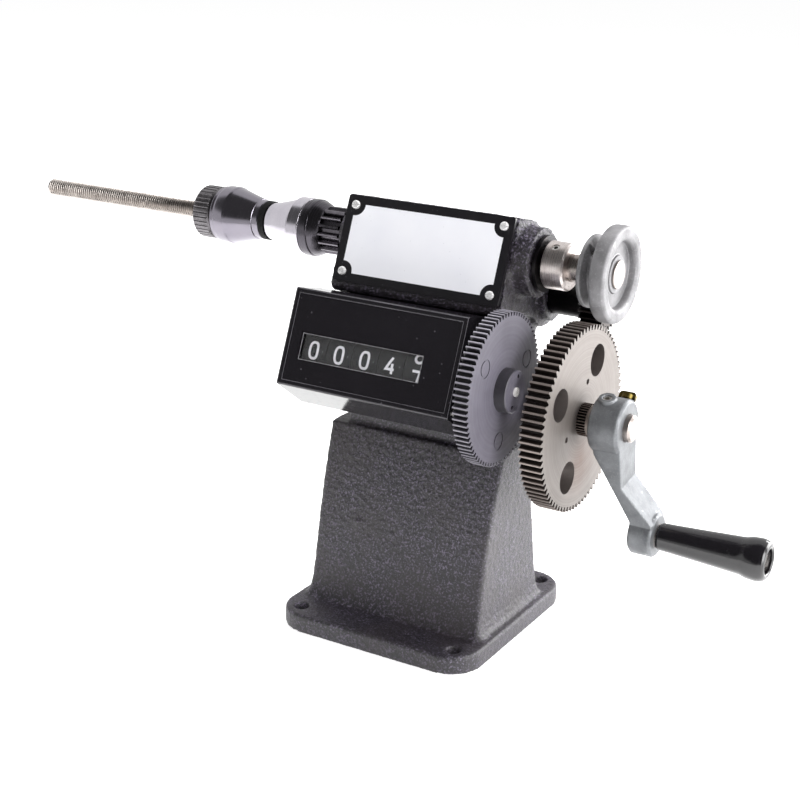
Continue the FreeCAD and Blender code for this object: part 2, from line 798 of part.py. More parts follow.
for k in range(drive_dowel_count):
    angle = drive_dowel_angle + 2 * math.pi * k / drive_dowel_count
    hy, hz = on_circle(drive_dowel_circle_r, angle, 0, crank_z)
    openings.append(cylinder_x(drive_dowel_r, drive_gear_x0 - 1, drive_gear_x1 + 1, hy, hz))
pieces["drive_gear"] = cut(drive_gear, openings)
pieces["toothed_ring"] = gear_x(
    ring_teeth, ring_module, drive_gear_x1, ring_x1, 0, crank_z, 0.0, crank_shaft_r
)
pieces["shaft_spacer"] = ring_x(spacer_r, crank_shaft_r, ring_x1, spacer_x1, 0, crank_z)

# Crank arm: its side view and its front view are crossed, then the hub and the boss are added
arm_y = math.cos(crank_angle)
arm_z = math.sin(crank_angle)
side_points = [V(x, s * arm_y, crank_z + s * arm_z) for x, s in arm_side]
across = V(0, -arm_z, arm_y)
side_face = Part.Face(Part.makePolygon(side_points + side_points[:1]))
side_face.translate(across * (-20))
side = side_face.extrude(across * 40)
front_points = []
for s, half in ((-3, arm_width_hub / 2), (crank_radius + 1, arm_width_boss / 2)):
    front_points.append((s, half))
    front_points.insert(0, (s, -half))
front_corners = [(s * arm_y + w * across.y, crank_z + s * arm_z + w * across.z) for s, w in front_points]
arm = prism_x(front_corners, 80, 115).common(side)
handle_y, handle_z = on_circle(crank_radius, crank_angle, 0, crank_z)
hub = turned_x(
    [
        (spacer_x1, crank_hub_r - 0.8),
        (spacer_x1 + 0.8, crank_hub_r),
        (crank_hub_x1 - 1.2, crank_hub_r),
        (crank_hub_x1, crank_hub_r - 1.2),
    ],
    0,
    crank_z,
)
boss = turned_x(
    [
        (handle_boss_x0, handle_boss_r - 1),
        (handle_boss_x0 + 1, handle_boss_r),
        (handle_boss_x1 - 1, handle_boss_r),
        (handle_boss_x1, handle_boss_r - 1),
    ],
    handle_y,
    handle_z,
)
hub_boss = radial_cylinder(hub_boss_r, hub_boss_x, 0, crank_z, hub_boss_angle, 4, hub_boss_out)
crank_arm = fuse([arm, hub, boss, hub_boss])
crank_arm = cut(
    crank_arm,
    [
        cylinder_x(crank_shaft_r, spacer_x1 - 5, crank_hub_x1 + 5, 0, crank_z),
        cylinder_x(pin_r, handle_boss_x0 - 5, handle_boss_x1 + 5, handle_y, handle_z),
        radial_cylinder(thumb_shank_r, thumb_x, 0, crank_z, thumb_angle, 2, crank_hub_r + 5),
        radial_cylinder(grub_r, hub_boss_x, 0, crank_z, hub_boss_angle, 2, hub_boss_out + 2),
    ],
)
pieces["crank_arm"] = crank_arm
grub = radial_cylinder(grub_r, hub_boss_x, 0, crank_z, hub_boss_angle, crank_shaft_r, hub_boss_out - 0.6)
grub_slot = radial_cylinder(1.0, hub_boss_x, 0, crank_z, hub_boss_angle, hub_boss_out - 2.2, hub_boss_out)
pieces["crank_grub_screw"] = grub.cut(grub_slot)

# Brass wing screw that clamps the crank to its shaft
shank = radial_cylinder(thumb_shank_r, thumb_x, 0, crank_z, thumb_angle, crank_shaft_r, thumb_head_out - 1)
knob = radial_cylinder(thumb_head_r, thumb_x, 0, crank_z, thumb_angle, crank_hub_r + 0.6, thumb_head_out)
wing = Part.makeBox(
    thumb_wing_span,
    thumb_wing_thickness,
    thumb_wing_height,
    V(thumb_x - thumb_wing_span / 2, -thumb_wing_thickness / 2, 0),
)
wing = wing.makeFillet(thumb_wing_round, [e for e in edges_along(wing, V(0, 1, 0)) if e.CenterOfMass.z > 1])
wing.translate(V(0, 0, thumb_head_out - thumb_wing_sink))
wing.rotate(V(0, 0, 0), V(1, 0, 0), math.degrees(thumb_angle) - 90)
wing.translate(V(0, 0, crank_z))
pieces["crank_wing_screw"] = fuse([shank, knob, wing])

# Handle: fixed pin with a turning grip
handle_pin = turned_x(
    [
        (handle_boss_x0, pin_r),
        (handle_boss_x1, pin_r),
        (handle_boss_x1, pin_shoulder_r),
        (pin_shoulder_x1, pin_shoulder_r),
        (pin_shoulder_x1, pin_r),
        (pin_head_x0, pin_r),
        (pin_head_x0, pin_head_r),
        (pin_head_x1 - 0.8, pin_head_r),
        (pin_head_x1, pin_head_r - 1.2),
    ],
    handle_y,
    handle_z,
)
pin_slot = Part.makeBox(
    pin_slot_depth + 1,
    pin_slot_width,
    pin_head_r * 2,
    V(pin_head_x1 - pin_slot_depth, handle_y - pin_slot_width / 2, handle_z - pin_head_r),
)
pieces["handle_pin"] = handle_pin.cut(pin_slot)
grip = turned_x(grip_profile, handle_y, handle_z, pin_r + running_gap)
recess = cylinder_x(grip_recess_r, grip_recess_x, grip_profile[-1][0] + 1, handle_y, handle_z)
pieces["handle_grip"] = grip.cut(recess)

# Counter housing: a moulded shell with a window, closed by a side cover
face_dy = counter_outline[1][0] - counter_outline[0][0]
face_dz = counter_outline[1][1] - counter_outline[0][1]
face_length = math.hypot(face_dy, face_dz)
face_up = (face_dy / face_length, face_dz / face_length)
face_in = (face_up[1], -face_up[0])


def on_face(up, inward):
    """A point of the counter's face: up from its lower edge, and into the box."""
    return (
        counter_outline[0][0] + up * face_up[0] + inward * face_in[0],
        counter_outline[0][1] + up * face_up[1] + inward * face_in[1],
    )


def face_box(x0, x1, up0, up1, inward0, inward1):
    corners = [on_face(up0, inward0), on_face(up1, inward0), on_face(up1, inward1), on_face(up0, inward1)]
    return prism_x(corners, x0, x1)


def inset(points, distance):
    """The same outline moved inwards by a wall's thickness. The points run clockwise as seen from +X."""
    moved = []
    count = len(points)
    for i in range(count):
        (ay, az), (by, bz), (cy, cz) = points[i - 1], points[i], points[(i + 1) % count]
        first = (by - ay, bz - az)
        second = (cy - by, cz - bz)
        n1 = math.hypot(*first)
        n2 = math.hypot(*second)
        u1 = (first[1] / n1, -first[0] / n1)
        u2 = (second[1] / n2, -second[0] / n2)
        k = distance / (1 + u1[0] * u2[0] + u1[1] * u2[1])
        moved.append((by + k * (u1[0] + u2[0]), bz + k * (u1[1] + u2[1])))
    return moved


cover_x = counter_x1 - counter_cover
housing = prism_x(counter_outline, counter_x0, cover_x)
housing = housing.makeFillet(counter_edge, edges_along(housing, V(1, 0, 0)))
inside = prism_x(inset(counter_outline, counter_wall), counter_x0 + counter_wall, cover_x + 1)
window = face_box(window_x0, window_x1, window_low, window_high, -1, counter_wall + 1)
bevel = face_box(
    window_x0 - window_edge,
    window_x1 + window_edge,
    window_low - window_edge,
    window_high + window_edge,
    -1,
    window_step,
)
left_bearing = cylinder_x(counter_shaft_r + running_gap, counter_x0 - 1, counter_x0 + 5, counter_y, counter_z)
pieces["counter_housing"] = cut(housing, [inside, window, bevel, left_bearing])
pieces["counter_window"] = face_box(
    window_x0, window_x1, window_low, window_high, counter_wall - pane_thickness, counter_wall
)
side_cover = prism_x(counter_outline, cover_x, counter_x1)
side_cover = side_cover.makeFillet(counter_edge, edges_along(side_cover, V(1, 0, 0)))
bearing_boss = cylinder_x(counter_boss_r, counter_x1 - 0.5, counter_boss_x1, counter_y, counter_z)
bearing = cylinder_x(counter_shaft_r + running_gap, cover_x - 1, counter_boss_x1 + 1, counter_y, counter_z)
cover_points = inset(counter_outline, counter_screw_inset)
cover_spots = [cover_points[k] for k in (0, 2, 4, 5)]
tools = [bearing, cylinder_x(stud_r, cover_x - 1, counter_x1 + 1, train_y, train_z)]
tools += [cylinder_x(counter_screw_r, cover_x - 1, counter_x1 + 1, y, z) for y, z in cover_spots]
pieces["counter_side_cover"] = cut(fuse([side_cover, bearing_boss]), tools)
screws = []
for y, z in cover_spots:
    shank = cylinder_x(counter_screw_r, cover_x, counter_x1, y, z)
    button_x1 = counter_x1 + counter_screw_head
    screws.append(shank.fuse(cylinder_x(counter_screw_head_r, counter_x1, button_x1, y, z)))
pieces["counter_cover_screws"] = Part.makeCompound(screws)
pieces["layshaft_stud"] = cylinder_x(stud_r, stud_x0, counter_x1, train_y, train_z)

# Counter gear outside the box, its shaft, and the step-up train inside
counter_gear = gear_x(
    counter_gear_teeth,
    counter_module,
    counter_gear_x0,
    counter_gear_x1,
    counter_y,
    counter_z,
    counter_gear_phase,
    0,
)
counter_hub = turned_x(
    [
        (counter_gear_x1 - 1, counter_hub_r + 0.3),
        (counter_hub_x1 - 0.4, counter_hub_r),
        (counter_hub_x1, counter_hub_r - 0.4),
    ],
    counter_y,
    counter_z,
)
counter_gear = counter_gear.fuse(counter_hub)
marks = [cylinder_x(counter_shaft_r, counter_gear_x0 - 1, counter_hub_x1 + 1, counter_y, counter_z)]
for k in range(2):
    hy, hz = on_circle(counter_hub_hole_circle_r, counter_hub_hole_angle + math.pi * k, counter_y, counter_z)
    marks.append(cylinder_x(counter_hub_hole_r, counter_hub_x1 - 3, counter_hub_x1 + 1, hy, hz))
for k in range(mould_mark_count):
    angle = mould_mark_angle + 2 * math.pi * k / mould_mark_count
    my, mz = on_circle(mould_mark_circle_r, angle, counter_y, counter_z)
    sunk_x = counter_gear_x1 - mould_mark_depth
    marks.append(ring_x(mould_mark_r, mould_mark_inner_r, sunk_x, counter_gear_x1 + 1, my, mz))
pieces["counter_gear"] = cut(counter_gear, marks)
pieces["counter_shaft"] = cylinder_x(
    counter_shaft_r, counter_shaft_x0, counter_shaft_x1, counter_y, counter_z
)
pieces["counter_input_gear"] = gear_x(
    train_large_teeth,
    train_module,
    input_gear_x0,
    input_gear_x1,
    counter_y,
    counter_z,
    input_phase,
    counter_shaft_r,
    pressure=25.0,
    addendum=train_addendum,
)
large = gear_x(
    train_large_teeth, train_module, layshaft_large_x0, layshaft_large_x1, train_y, train_z,
    layshaft_large_phase, 0, pressure=25.0, addendum=train_addendum,
)
small = gear_x(
    train_small_teeth, train_module, layshaft_small_x0, layshaft_small_x1, train_y, train_z,
    layshaft_small_phase, 0, pressure=25.0, addendum=train_addendum,
)
layshaft_hub = cylinder_x(layshaft_hub_r, layshaft_large_x1 - 0.5, layshaft_small_x0 + 0.5, train_y, train_z)
layshaft_bore = cylinder_x(stud_r + running_gap, stud_x0 - 1, layshaft_small_x1 + 1, train_y, train_z)
pieces["counter_layshaft_gear"] = fuse([large, small, layshaft_hub]).cut(layshaft_bore)

# Number wheels, from the left: ten thousands to units
wheel_names = ["ten_thousands", "thousands", "hundreds", "tens", "units"]
wheel_bore = counter_shaft_r + running_gap
for k, name in enumerate(wheel_names):
    middle = wheel_first_x + wheel_pitch * k
    x0 = middle - wheel_width / 2
    x1 = middle + wheel_width / 2
    wheel = ring_x(wheel_r, wheel_r - wheel_rim, x0, x1, counter_y, counter_z)
    web_r = wheel_r - wheel_rim + 0.5
    web = cylinder_x(web_r, middle - wheel_web / 2, middle + wheel_web / 2, counter_y, counter_z)
    wheel_hub = cylinder_x(wheel_hub_r, x0, x1, counter_y, counter_z)
    parts = [wheel, web, wheel_hub]
    far = x1
    if name == "units":
        far = units_pinion_x1
        parts.append(
            gear_x(
                train_small_teeth, train_module, x1 - 0.5, far, counter_y, counter_z,
                units_phase, 0, pressure=25.0, addendum=train_addendum,
            )
        )
    pieces["number_wheel_" + name] = fuse(parts).cut(
        cylinder_x(wheel_bore, x0 - 1, far + 1, counter_y, counter_z)
    )

# Bracket that holds the counter to the neck
bracket_front = max(y for y, z in counter_outline)
bracket_back = -8.0
bracket = Part.makeBox(
    bracket_x1 - bracket_x0,
    bracket_back - bracket_front,
    bracket_z1 - bracket_z0,
    V(bracket_x0, bracket_front, bracket_z0),
)
bracket = bracket.cut(pieces["body_casting"])
for x in (-bracket_screw_x, bracket_screw_x):
    bracket = bracket.cut(cylinder(V(x, -20, bracket_screw_z), V(0, 1, 0), bracket_screw_r, 30))
pieces["counter_bracket"] = bracket
bracket_screws = []
for x in (-bracket_screw_x, bracket_screw_x):
    start = V(x, bracket_front - counter_wall, bracket_screw_z)
    bracket_screws.append(cylinder(start, V(0, 1, 0), bracket_screw_r, 12))
    hole = cylinder(V(x, bracket_front - 5, bracket_screw_z), V(0, 1, 0), bracket_screw_r, 10)
    pieces["counter_housing"] = pieces["counter_housing"].cut(hole)
pieces["counter_bracket_screws"] = Part.makeCompound(bracket_screws)

os.makedirs("parts", exist_ok=True)
for name, shape in pieces.items():
    print(name, shape.isValid(), len(shape.Solids), round(shape.Volume, 1))
    shape.exportStep("parts/" + name + ".step")
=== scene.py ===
import math

import bmesh
import bpy
from mathutils import Matrix, Vector, noise


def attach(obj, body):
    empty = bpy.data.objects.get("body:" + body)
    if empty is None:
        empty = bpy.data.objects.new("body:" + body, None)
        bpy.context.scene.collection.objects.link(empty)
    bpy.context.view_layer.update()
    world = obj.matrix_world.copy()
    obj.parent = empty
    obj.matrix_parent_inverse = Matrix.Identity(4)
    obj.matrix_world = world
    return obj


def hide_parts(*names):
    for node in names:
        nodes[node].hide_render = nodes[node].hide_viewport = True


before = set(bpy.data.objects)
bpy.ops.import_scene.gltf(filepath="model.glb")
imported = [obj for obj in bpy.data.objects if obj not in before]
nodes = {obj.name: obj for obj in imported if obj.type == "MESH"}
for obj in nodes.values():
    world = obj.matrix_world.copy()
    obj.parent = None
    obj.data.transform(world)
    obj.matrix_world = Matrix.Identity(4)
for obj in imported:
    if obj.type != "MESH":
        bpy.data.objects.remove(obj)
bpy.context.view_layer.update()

# A hand-cranked wire coil winding machine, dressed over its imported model.
# Lengths in the dictionaries are millimetres, angles are degrees. X runs along the spindle,
# -Y is the front and Z is up. Blender works in metres, so every length is times mm.
mm = 0.001


# Small helpers

def linear(hexColour):
    # an sRGB hex value as the linear colour that shaders take
    found = []
    for start in (1, 3, 5):
        value = int(hexColour[start:start + 2], 16) / 255
        found.append(value / 12.92 if value <= 0.04045 else ((value + 0.055) / 1.055) ** 2.4)
    return (found[0], found[1], found[2], 1.0)


def perSize(sizeMm):
    # a texture scale that repeats about once in so many millimetres
    return 1000.0 / sizeMm


def addNode(tree, kind, options=None, inputs=None):
    # one node with its settings; an input is a value, or a socket to link from
    node = tree.nodes.new("ShaderNode" + kind)
    for name, value in (options or {}).items():
        if name == "stops":
            elements = node.color_ramp.elements
            elements[0].position, elements[0].color = value[0][0], value[0][1]
            elements[1].position, elements[1].color = value[-1][0], value[-1][1]
            for position, colour in value[1:-1]:
                elements.new(position).color = colour
        else:
            setattr(node, name, value)
    for name, value in (inputs or {}).items():
        if isinstance(value, bpy.types.NodeSocket):
            tree.links.new(value, node.inputs[name])
        else:
            node.inputs[name].default_value = value
    return node


def startMaterial(name):
    material = bpy.data.materials.new(name)
    material.use_nodes = True
    tree = material.node_tree
    tree.nodes.clear()
    shader = addNode(tree, "BsdfPrincipled")
    output = addNode(tree, "OutputMaterial")
    tree.links.new(shader.outputs["BSDF"], output.inputs["Surface"])
    place = addNode(tree, "TexCoord").outputs["Object"]
    return material, tree, shader, place


def grey(level):
    return (level, level, level, 1.0)


def stops(tones):
    # a colour ramp's places with their colours
    return [(place, linear(colour)) for place, colour in tones]


# the mix node's sockets share their names, so they are known by their numbers
mixShare, underColour, overColour, mixedColour = 0, 6, 7, 2
underNumber, overNumber, mixedNumber = 2, 3, 0


def finishShader(tree, shader, colour, roughness, normal):
    # the three patterns that every finish ends in
    for name, socket in (("Base Color", colour), ("Roughness", roughness), ("Normal", normal)):
        tree.links.new(socket, shader.inputs[name])


# Finishes

def sandCastIron(name, paint):
    # black painted sand-cast iron: the sand leaves fine grains that catch the light,
    # and the paint is worn thin on the tops
    material, tree, shader, place = startMaterial(name)
    grain = addNode(tree, "TexNoise", {}, {
        "Vector": place, "Scale": perSize(paint["grain"]), "Detail": 5.0, "Roughness": 0.62})
    lumps = addNode(tree, "TexVoronoi", {"feature": "SMOOTH_F1"}, {
        "Vector": place, "Scale": perSize(paint["lump"]), "Smoothness": 0.6})
    patches = addNode(tree, "TexNoise", {}, {
        "Vector": place, "Scale": perSize(paint["patch"]), "Detail": 3.0})
    edges = addNode(tree, "NewGeometry").outputs["Pointiness"]
    tone = addNode(tree, "ValToRGB", {"stops": stops(paint["tones"])}, {
        "Fac": grain.outputs["Fac"]})
    patchShare = addNode(tree, "MapRange", {}, {
        "Value": patches.outputs["Fac"], "From Min": 0.42, "From Max": 0.7, "To Max": paint["patchAmount"]})
    tinted = addNode(tree, "Mix", {"data_type": "RGBA"}, {
        mixShare: patchShare.outputs["Result"], underColour: tone.outputs["Color"],
        overColour: linear(paint["patchColour"])})
    wear = addNode(tree, "MapRange", {}, {
        "Value": edges, "From Min": 0.54, "From Max": 0.64, "To Max": paint["edgeWear"]})
    worn = addNode(tree, "Mix", {"data_type": "RGBA"}, {
        mixShare: wear.outputs["Result"], underColour: tinted.outputs[mixedColour],
        overColour: linear(paint["worn"])})
    gloss = addNode(tree, "MapRange", {}, {
        "Value": grain.outputs["Fac"], "From Min": 0.3, "From Max": 0.7,
        "To Min": paint["roughLow"], "To Max": paint["roughHigh"]})
    coarse = addNode(tree, "Bump", {}, {
        "Height": lumps.outputs["Distance"], "Strength": 0.5, "Distance": paint["lumpDepth"] * mm})
    fine = addNode(tree, "Bump", {}, {
        "Height": grain.outputs["Fac"], "Strength": 0.8, "Distance": paint["grainDepth"] * mm,
        "Normal": coarse.outputs["Normal"]})
    finishShader(tree, shader, worn.outputs[mixedColour], gloss.outputs["Result"], fine.outputs["Normal"])
    shader.inputs["IOR"].default_value = paint["ior"]
    return material


def mouldedPlastic(name, look):
    # injection moulded plastic: even colour, fine mould texture, dust and hair scratches from use
    material, tree, shader, place = startMaterial(name)
    cloud = addNode(tree, "TexNoise", {}, {
        "Vector": place, "Scale": perSize(look["cloud"]), "Detail": 3.0})
    stretched = addNode(tree, "Mapping", {}, {
        "Vector": place, "Rotation": (0.3, 0.2, 0.5), "Scale": (1.0, 1.0, 0.06)})
    scratches = addNode(tree, "TexNoise", {}, {
        "Vector": stretched.outputs["Vector"], "Scale": perSize(look["scratch"]), "Detail": 2.0})
    specks = addNode(tree, "TexVoronoi", {}, {
        "Vector": place, "Scale": perSize(look["speck"]), "Randomness": 1.0})
    dust = addNode(tree, "MapRange", {}, {
        "Value": specks.outputs["Distance"], "From Min": 0.03, "From Max": 0.09,
        "To Min": look["dustAmount"], "To Max": 0.0})
    tone = addNode(tree, "Mix", {"data_type": "RGBA"}, {
        mixShare: cloud.outputs["Fac"], underColour: linear(look["colour"]),
        overColour: linear(look["colourHigh"])})
    dusted = addNode(tree, "Mix", {"data_type": "RGBA"}, {
        mixShare: dust.outputs["Result"], underColour: tone.outputs[mixedColour],
        overColour: linear(look["dust"])})
    haze = addNode(tree, "MapRange", {}, {
        "Value": scratches.outputs["Fac"], "From Min": 0.55, "From Max": 0.75,
        "To Min": look["rough"], "To Max": look["rough"] + look["haze"]})
    skin = addNode(tree, "Bump", {}, {
        "Height": cloud.outputs["Fac"], "Strength": look["skin"], "Distance": skinDepth * mm})
    finishShader(tree, shader, dusted.outputs[mixedColour], haze.outputs["Result"], skin.outputs["Normal"])
    shader.inputs["IOR"].default_value = look["ior"]
    return material


def latheRings(tree, place, look):
    # each point's place across the axis, its distance from the axis, and fine rings cut round the axis
    centred = addNode(tree, "VectorMath", {"operation": "SUBTRACT"}, {
        0: place, 1: (0.0, look["axisY"] * mm, look["axisZ"] * mm)})
    parts = addNode(tree, "SeparateXYZ", {}, {"Vector": centred.outputs["Vector"]})
    across = addNode(tree, "CombineXYZ", {}, {
        "Y": parts.outputs["Y"], "Z": parts.outputs["Z"]})
    radius = addNode(tree, "VectorMath", {"operation": "LENGTH"}, {0: across.outputs["Vector"]})
    ringPlace = addNode(tree, "CombineXYZ", {}, {
        "X": parts.outputs["X"], "Y": radius.outputs["Value"]})
    rings = addNode(tree, "TexNoise", {"noise_dimensions": "2D"}, {
        "Vector": ringPlace.outputs["Vector"], "Scale": perSize(look["ring"]), "Detail": 2.0})
    return across.outputs["Vector"], radius.outputs["Value"], rings.outputs["Fac"]


def turnedMetal(name, look):
    # metal turned on a lathe: hair-fine rings round the axis, rings on the end faces, and a little staining
    material, tree, shader, place = startMaterial(name)
    across, radius, rings = latheRings(tree, place, look)
    stain = addNode(tree, "TexNoise", {}, {
        "Vector": place, "Scale": perSize(look["stain"]), "Detail": 4.0, "Roughness": 0.6})
    stained = addNode(tree, "MapRange", {}, {
        "Value": stain.outputs["Fac"], "From Min": 0.4, "From Max": 0.75, "To Max": look["stainAmount"]})
    tone = addNode(tree, "Mix", {"data_type": "RGBA"}, {
        mixShare: stained.outputs["Result"], underColour: linear(look["colour"]),
        overColour: linear(look["stainColour"])})
    shine = addNode(tree, "MapRange", {}, {
        "Value": rings, "From Min": 0.3, "From Max": 0.7,
        "To Min": look["rough"] - look["ringRough"], "To Max": look["rough"] + look["ringRough"]})
    cutMarks = addNode(tree, "Bump", {}, {
        "Height": rings, "Strength": look["ringDepth"], "Distance": cutDepth * mm})
    finishShader(tree, shader, tone.outputs[mixedColour], shine.outputs["Result"], cutMarks.outputs["Normal"])
    shader.inputs["Metallic"].default_value = look["metallic"]
    return material


def cutGear(name, look):
    # a gear: faces with turned or moulded rings, painted shade in the tooth gaps with a painted highlight on
    # the tips, and a stain below the shaft
    material, tree, shader, place = startMaterial(name)
    across, radius, rings = latheRings(tree, place, look)
    facing = addNode(tree, "SeparateXYZ", {}, {
        "Vector": addNode(tree, "TexCoord").outputs["Normal"]})
    endFace = addNode(tree, "Math", {"operation": "ABSOLUTE"}, {0: facing.outputs["X"]})
    isFace = addNode(tree, "MapRange", {}, {
        "Value": endFace.outputs["Value"], "From Min": 0.55, "From Max": 0.85})
    tip = addNode(tree, "MapRange", {}, {
        "Value": radius, "From Min": look["rootR"] * mm, "From Max": look["tipR"] * mm})
    # the tooth flanks are coloured by distance from the axis: dark in the gaps as painted shade, pale at the
    # tips as a painted highlight
    flank = addNode(tree, "ValToRGB", {"stops": stops(zip(gapShadeTipHighlightPlaces, look["gapShadeTipHighlightTones"]))}, {
        "Fac": tip.outputs["Result"]})
    cloud = addNode(tree, "TexNoise", {}, {
        "Vector": place, "Scale": perSize(look["stain"]), "Detail": 5.0, "Roughness": 0.65})
    run = addNode(tree, "VectorMath", {"operation": "DISTANCE"}, {
        0: across, 1: (0.0, look["runY"] * mm, look["runZ"] * mm)})
    runShare = addNode(tree, "MapRange", {}, {
        "Value": run.outputs["Value"], "From Min": 1.0 * mm, "From Max": look["runReach"] * mm,
        "To Min": look["runAmount"], "To Max": 0.0})
    broken = addNode(tree, "Math", {"operation": "MULTIPLY"}, {
        0: runShare.outputs["Result"], 1: cloud.outputs["Fac"]})
    cloudShare = addNode(tree, "MapRange", {}, {
        "Value": cloud.outputs["Fac"], "From Min": 0.4, "From Max": 0.75, "To Max": look["stainAmount"]})
    clouded = addNode(tree, "Mix", {"data_type": "RGBA"}, {
        mixShare: cloudShare.outputs["Result"], underColour: linear(look["face"]),
        overColour: linear(look["faceShade"])})
    faceTone = addNode(tree, "Mix", {"data_type": "RGBA"}, {
        mixShare: broken.outputs["Value"], underColour: clouded.outputs[mixedColour],
        overColour: linear(look["rust"])})
    tone = addNode(tree, "Mix", {"data_type": "RGBA"}, {
        mixShare: isFace.outputs["Result"], underColour: flank.outputs["Color"],
        overColour: faceTone.outputs[mixedColour]})
    shine = addNode(tree, "MapRange", {}, {
        "Value": rings, "From Min": 0.3, "From Max": 0.7,
        "To Min": look["rough"] - 0.05, "To Max": look["rough"] + 0.08})
    cutMarks = addNode(tree, "Bump", {}, {
        "Height": rings, "Strength": 0.35, "Distance": cutDepth * mm})
    finishShader(tree, shader, tone.outputs[mixedColour], shine.outputs["Result"], cutMarks.outputs["Normal"])
    shader.inputs["Metallic"].default_value = look["metallic"]
    return material


def castMetal(name, look):
    # die or gravity cast metal: matt skin with a faint orange-peel, paler where it is rubbed
    material, tree, shader, place = startMaterial(name)
    skin = addNode(tree, "TexNoise", {}, {
        "Vector": place, "Scale": perSize(look["skin"]), "Detail": 4.0, "Roughness": 0.55})
    patches = addNode(tree, "TexNoise", {}, {
        "Vector": place, "Scale": perSize(look["patch"]), "Detail": 3.0})
    edges = addNode(tree, "NewGeometry").outputs["Pointiness"]
    wear = addNode(tree, "MapRange", {}, {
        "Value": edges, "From Min": 0.51, "From Max": 0.58, "To Max": look["edgeWear"]})
    tone = addNode(tree, "ValToRGB", {"stops": stops(zip(skinPlaces, look["skinTones"]))}, {
        "Fac": patches.outputs["Fac"]})
    speckShare = addNode(tree, "MapRange", {}, {
        "Value": skin.outputs["Fac"], "From Min": 0.52, "From Max": 0.7, "To Max": 0.35})
    speckled = addNode(tree, "Mix", {"data_type": "RGBA"}, {
        mixShare: speckShare.outputs["Result"], underColour: tone.outputs["Color"],
        overColour: linear(look["speck"])})
    worn = addNode(tree, "Mix", {"data_type": "RGBA"}, {
        mixShare: wear.outputs["Result"], underColour: speckled.outputs[mixedColour],
        overColour: linear(look["worn"])})
    shine = addNode(tree, "MapRange", {}, {
        "Value": skin.outputs["Fac"], "From Min": 0.3, "From Max": 0.7,
        "To Min": look["rough"] - 0.08, "To Max": look["rough"] + 0.1})
    peel = addNode(tree, "Bump", {}, {
        "Height": skin.outputs["Fac"], "Strength": look["peel"], "Distance": peelDepth * mm})
    finishShader(tree, shader, worn.outputs[mixedColour], shine.outputs["Result"], peel.outputs["Normal"])
    shader.inputs["Metallic"].default_value = look["metallic"]
    return material


def clearAcrylic(name, look):
    # polished clear acrylic pane: shows only as a faint sheen over the wheels
    material, tree, shader, place = startMaterial(name)
    smear = addNode(tree, "TexNoise", {}, {
        "Vector": place, "Scale": perSize(look["smear"]), "Detail": 3.0})
    haze = addNode(tree, "MapRange", {}, {
        "Value": smear.outputs["Fac"], "From Min": 0.4, "From Max": 0.8, "To Max": look["haze"]})
    tree.links.new(haze.outputs["Result"], shader.inputs["Roughness"])
    shader.inputs["Base Color"].default_value = linear(look["colour"])
    shader.inputs["Transmission Weight"].default_value = 1.0
    shader.inputs["IOR"].default_value = look["ior"]
    return material


# how deep the fine marks are: mould texture, lathe cuts and the peel of a casting
skinDepth, cutDepth, peelDepth = 0.05, 0.02, 0.12
# where the tones of a tooth lie, from its root to its tip (painted shade in the gaps, a painted highlight at
# the tips), and those of a cast skin
gapShadeTipHighlightPlaces = (0.0, 0.45, 0.9, 0.98)
skinPlaces = (0.3, 0.5, 0.75)

# the shafts that the turned pieces run on
spindleAxis = {"axisY": 0.0, "axisZ": 175.8}
crankAxis = {"axisY": 0.0, "axisZ": 110.4}
handleAxis = {"axisY": 8.80, "axisZ": 60.98}
idlerAxis = {"axisY": 21.93, "axisZ": 155.33}
counterAxis = {"axisY": -33.65, "axisZ": 128.90}

steelLook = {"ring": 0.35, "stain": 9.0, "stainAmount": 0.35, "colour": "#cbc6c3", "stainColour": "#8d827c",
             "rough": 0.24, "ringRough": 0.07, "ringDepth": 0.5, "metallic": 1.0}


def steel(name, axis, **changes):
    return turnedMetal(name, {**steelLook, **axis, **changes})


castIron = sandCastIron("black painted sand cast iron", {
    "grain": 0.95, "lump": 2.2, "patch": 26.0,
    "tones": [(0.38, "#0b090d"), (0.52, "#232027"), (0.66, "#6c6576")], "patchColour": "#2b2526",
    "patchAmount": 0.55, "worn": "#716c6e", "edgeWear": 0.35, "roughLow": 0.36, "roughHigh": 0.62,
    "lumpDepth": 0.45, "grainDepth": 0.5, "ior": 1.62})
oxideSteel = steel("black oxide turned steel", spindleAxis, colour="#2a292b", stainColour="#4a4442",
                   rough=0.38)
oxideSleeve = steel("black oxide sleeve steel", idlerAxis, colour="#1f1e20",
                    stainColour="#35302e", rough=0.42)
groundSteel = steel("ground shaft steel", spindleAxis, colour="#a39c98", rough=0.3)
crankSteel = steel("ground crank shaft steel", crankAxis, colour="#a19995", rough=0.34)
handleSteel = steel("turned handle pin steel", handleAxis)
idlerSteel = steel("ground idler shaft steel", idlerAxis)
counterSteel = steel("bright drawn counter shaft steel", counterAxis, colour="#e4e1df", metallic=0.3)
nickelSteel = steel("nickel plated thread rolled steel", spindleAxis, colour="#b9b2ad", stainColour="#6e6661",
                    stainAmount=0.5, rough=0.28, ring=0.9, stain=5.0)
nutSteel = steel("knurled dark nickel steel", spindleAxis, colour="#7d7a7d", stainColour="#3d3a3b", rough=0.3,
                 stain=4.0, stainAmount=0.6)
blackNickel = steel("black nickel polished steel", spindleAxis, colour="#8b8790", stainColour="#6f6b74",
                    rough=0.19, ringRough=0.04, ringDepth=0.25, stainAmount=0.3)
paleNickel = steel("polished nickel plated steel", spindleAxis, colour="#c8c4cc", stainColour="#a5a1a9",
                   rough=0.19, ringRough=0.04, ringDepth=0.25, stainAmount=0.3)
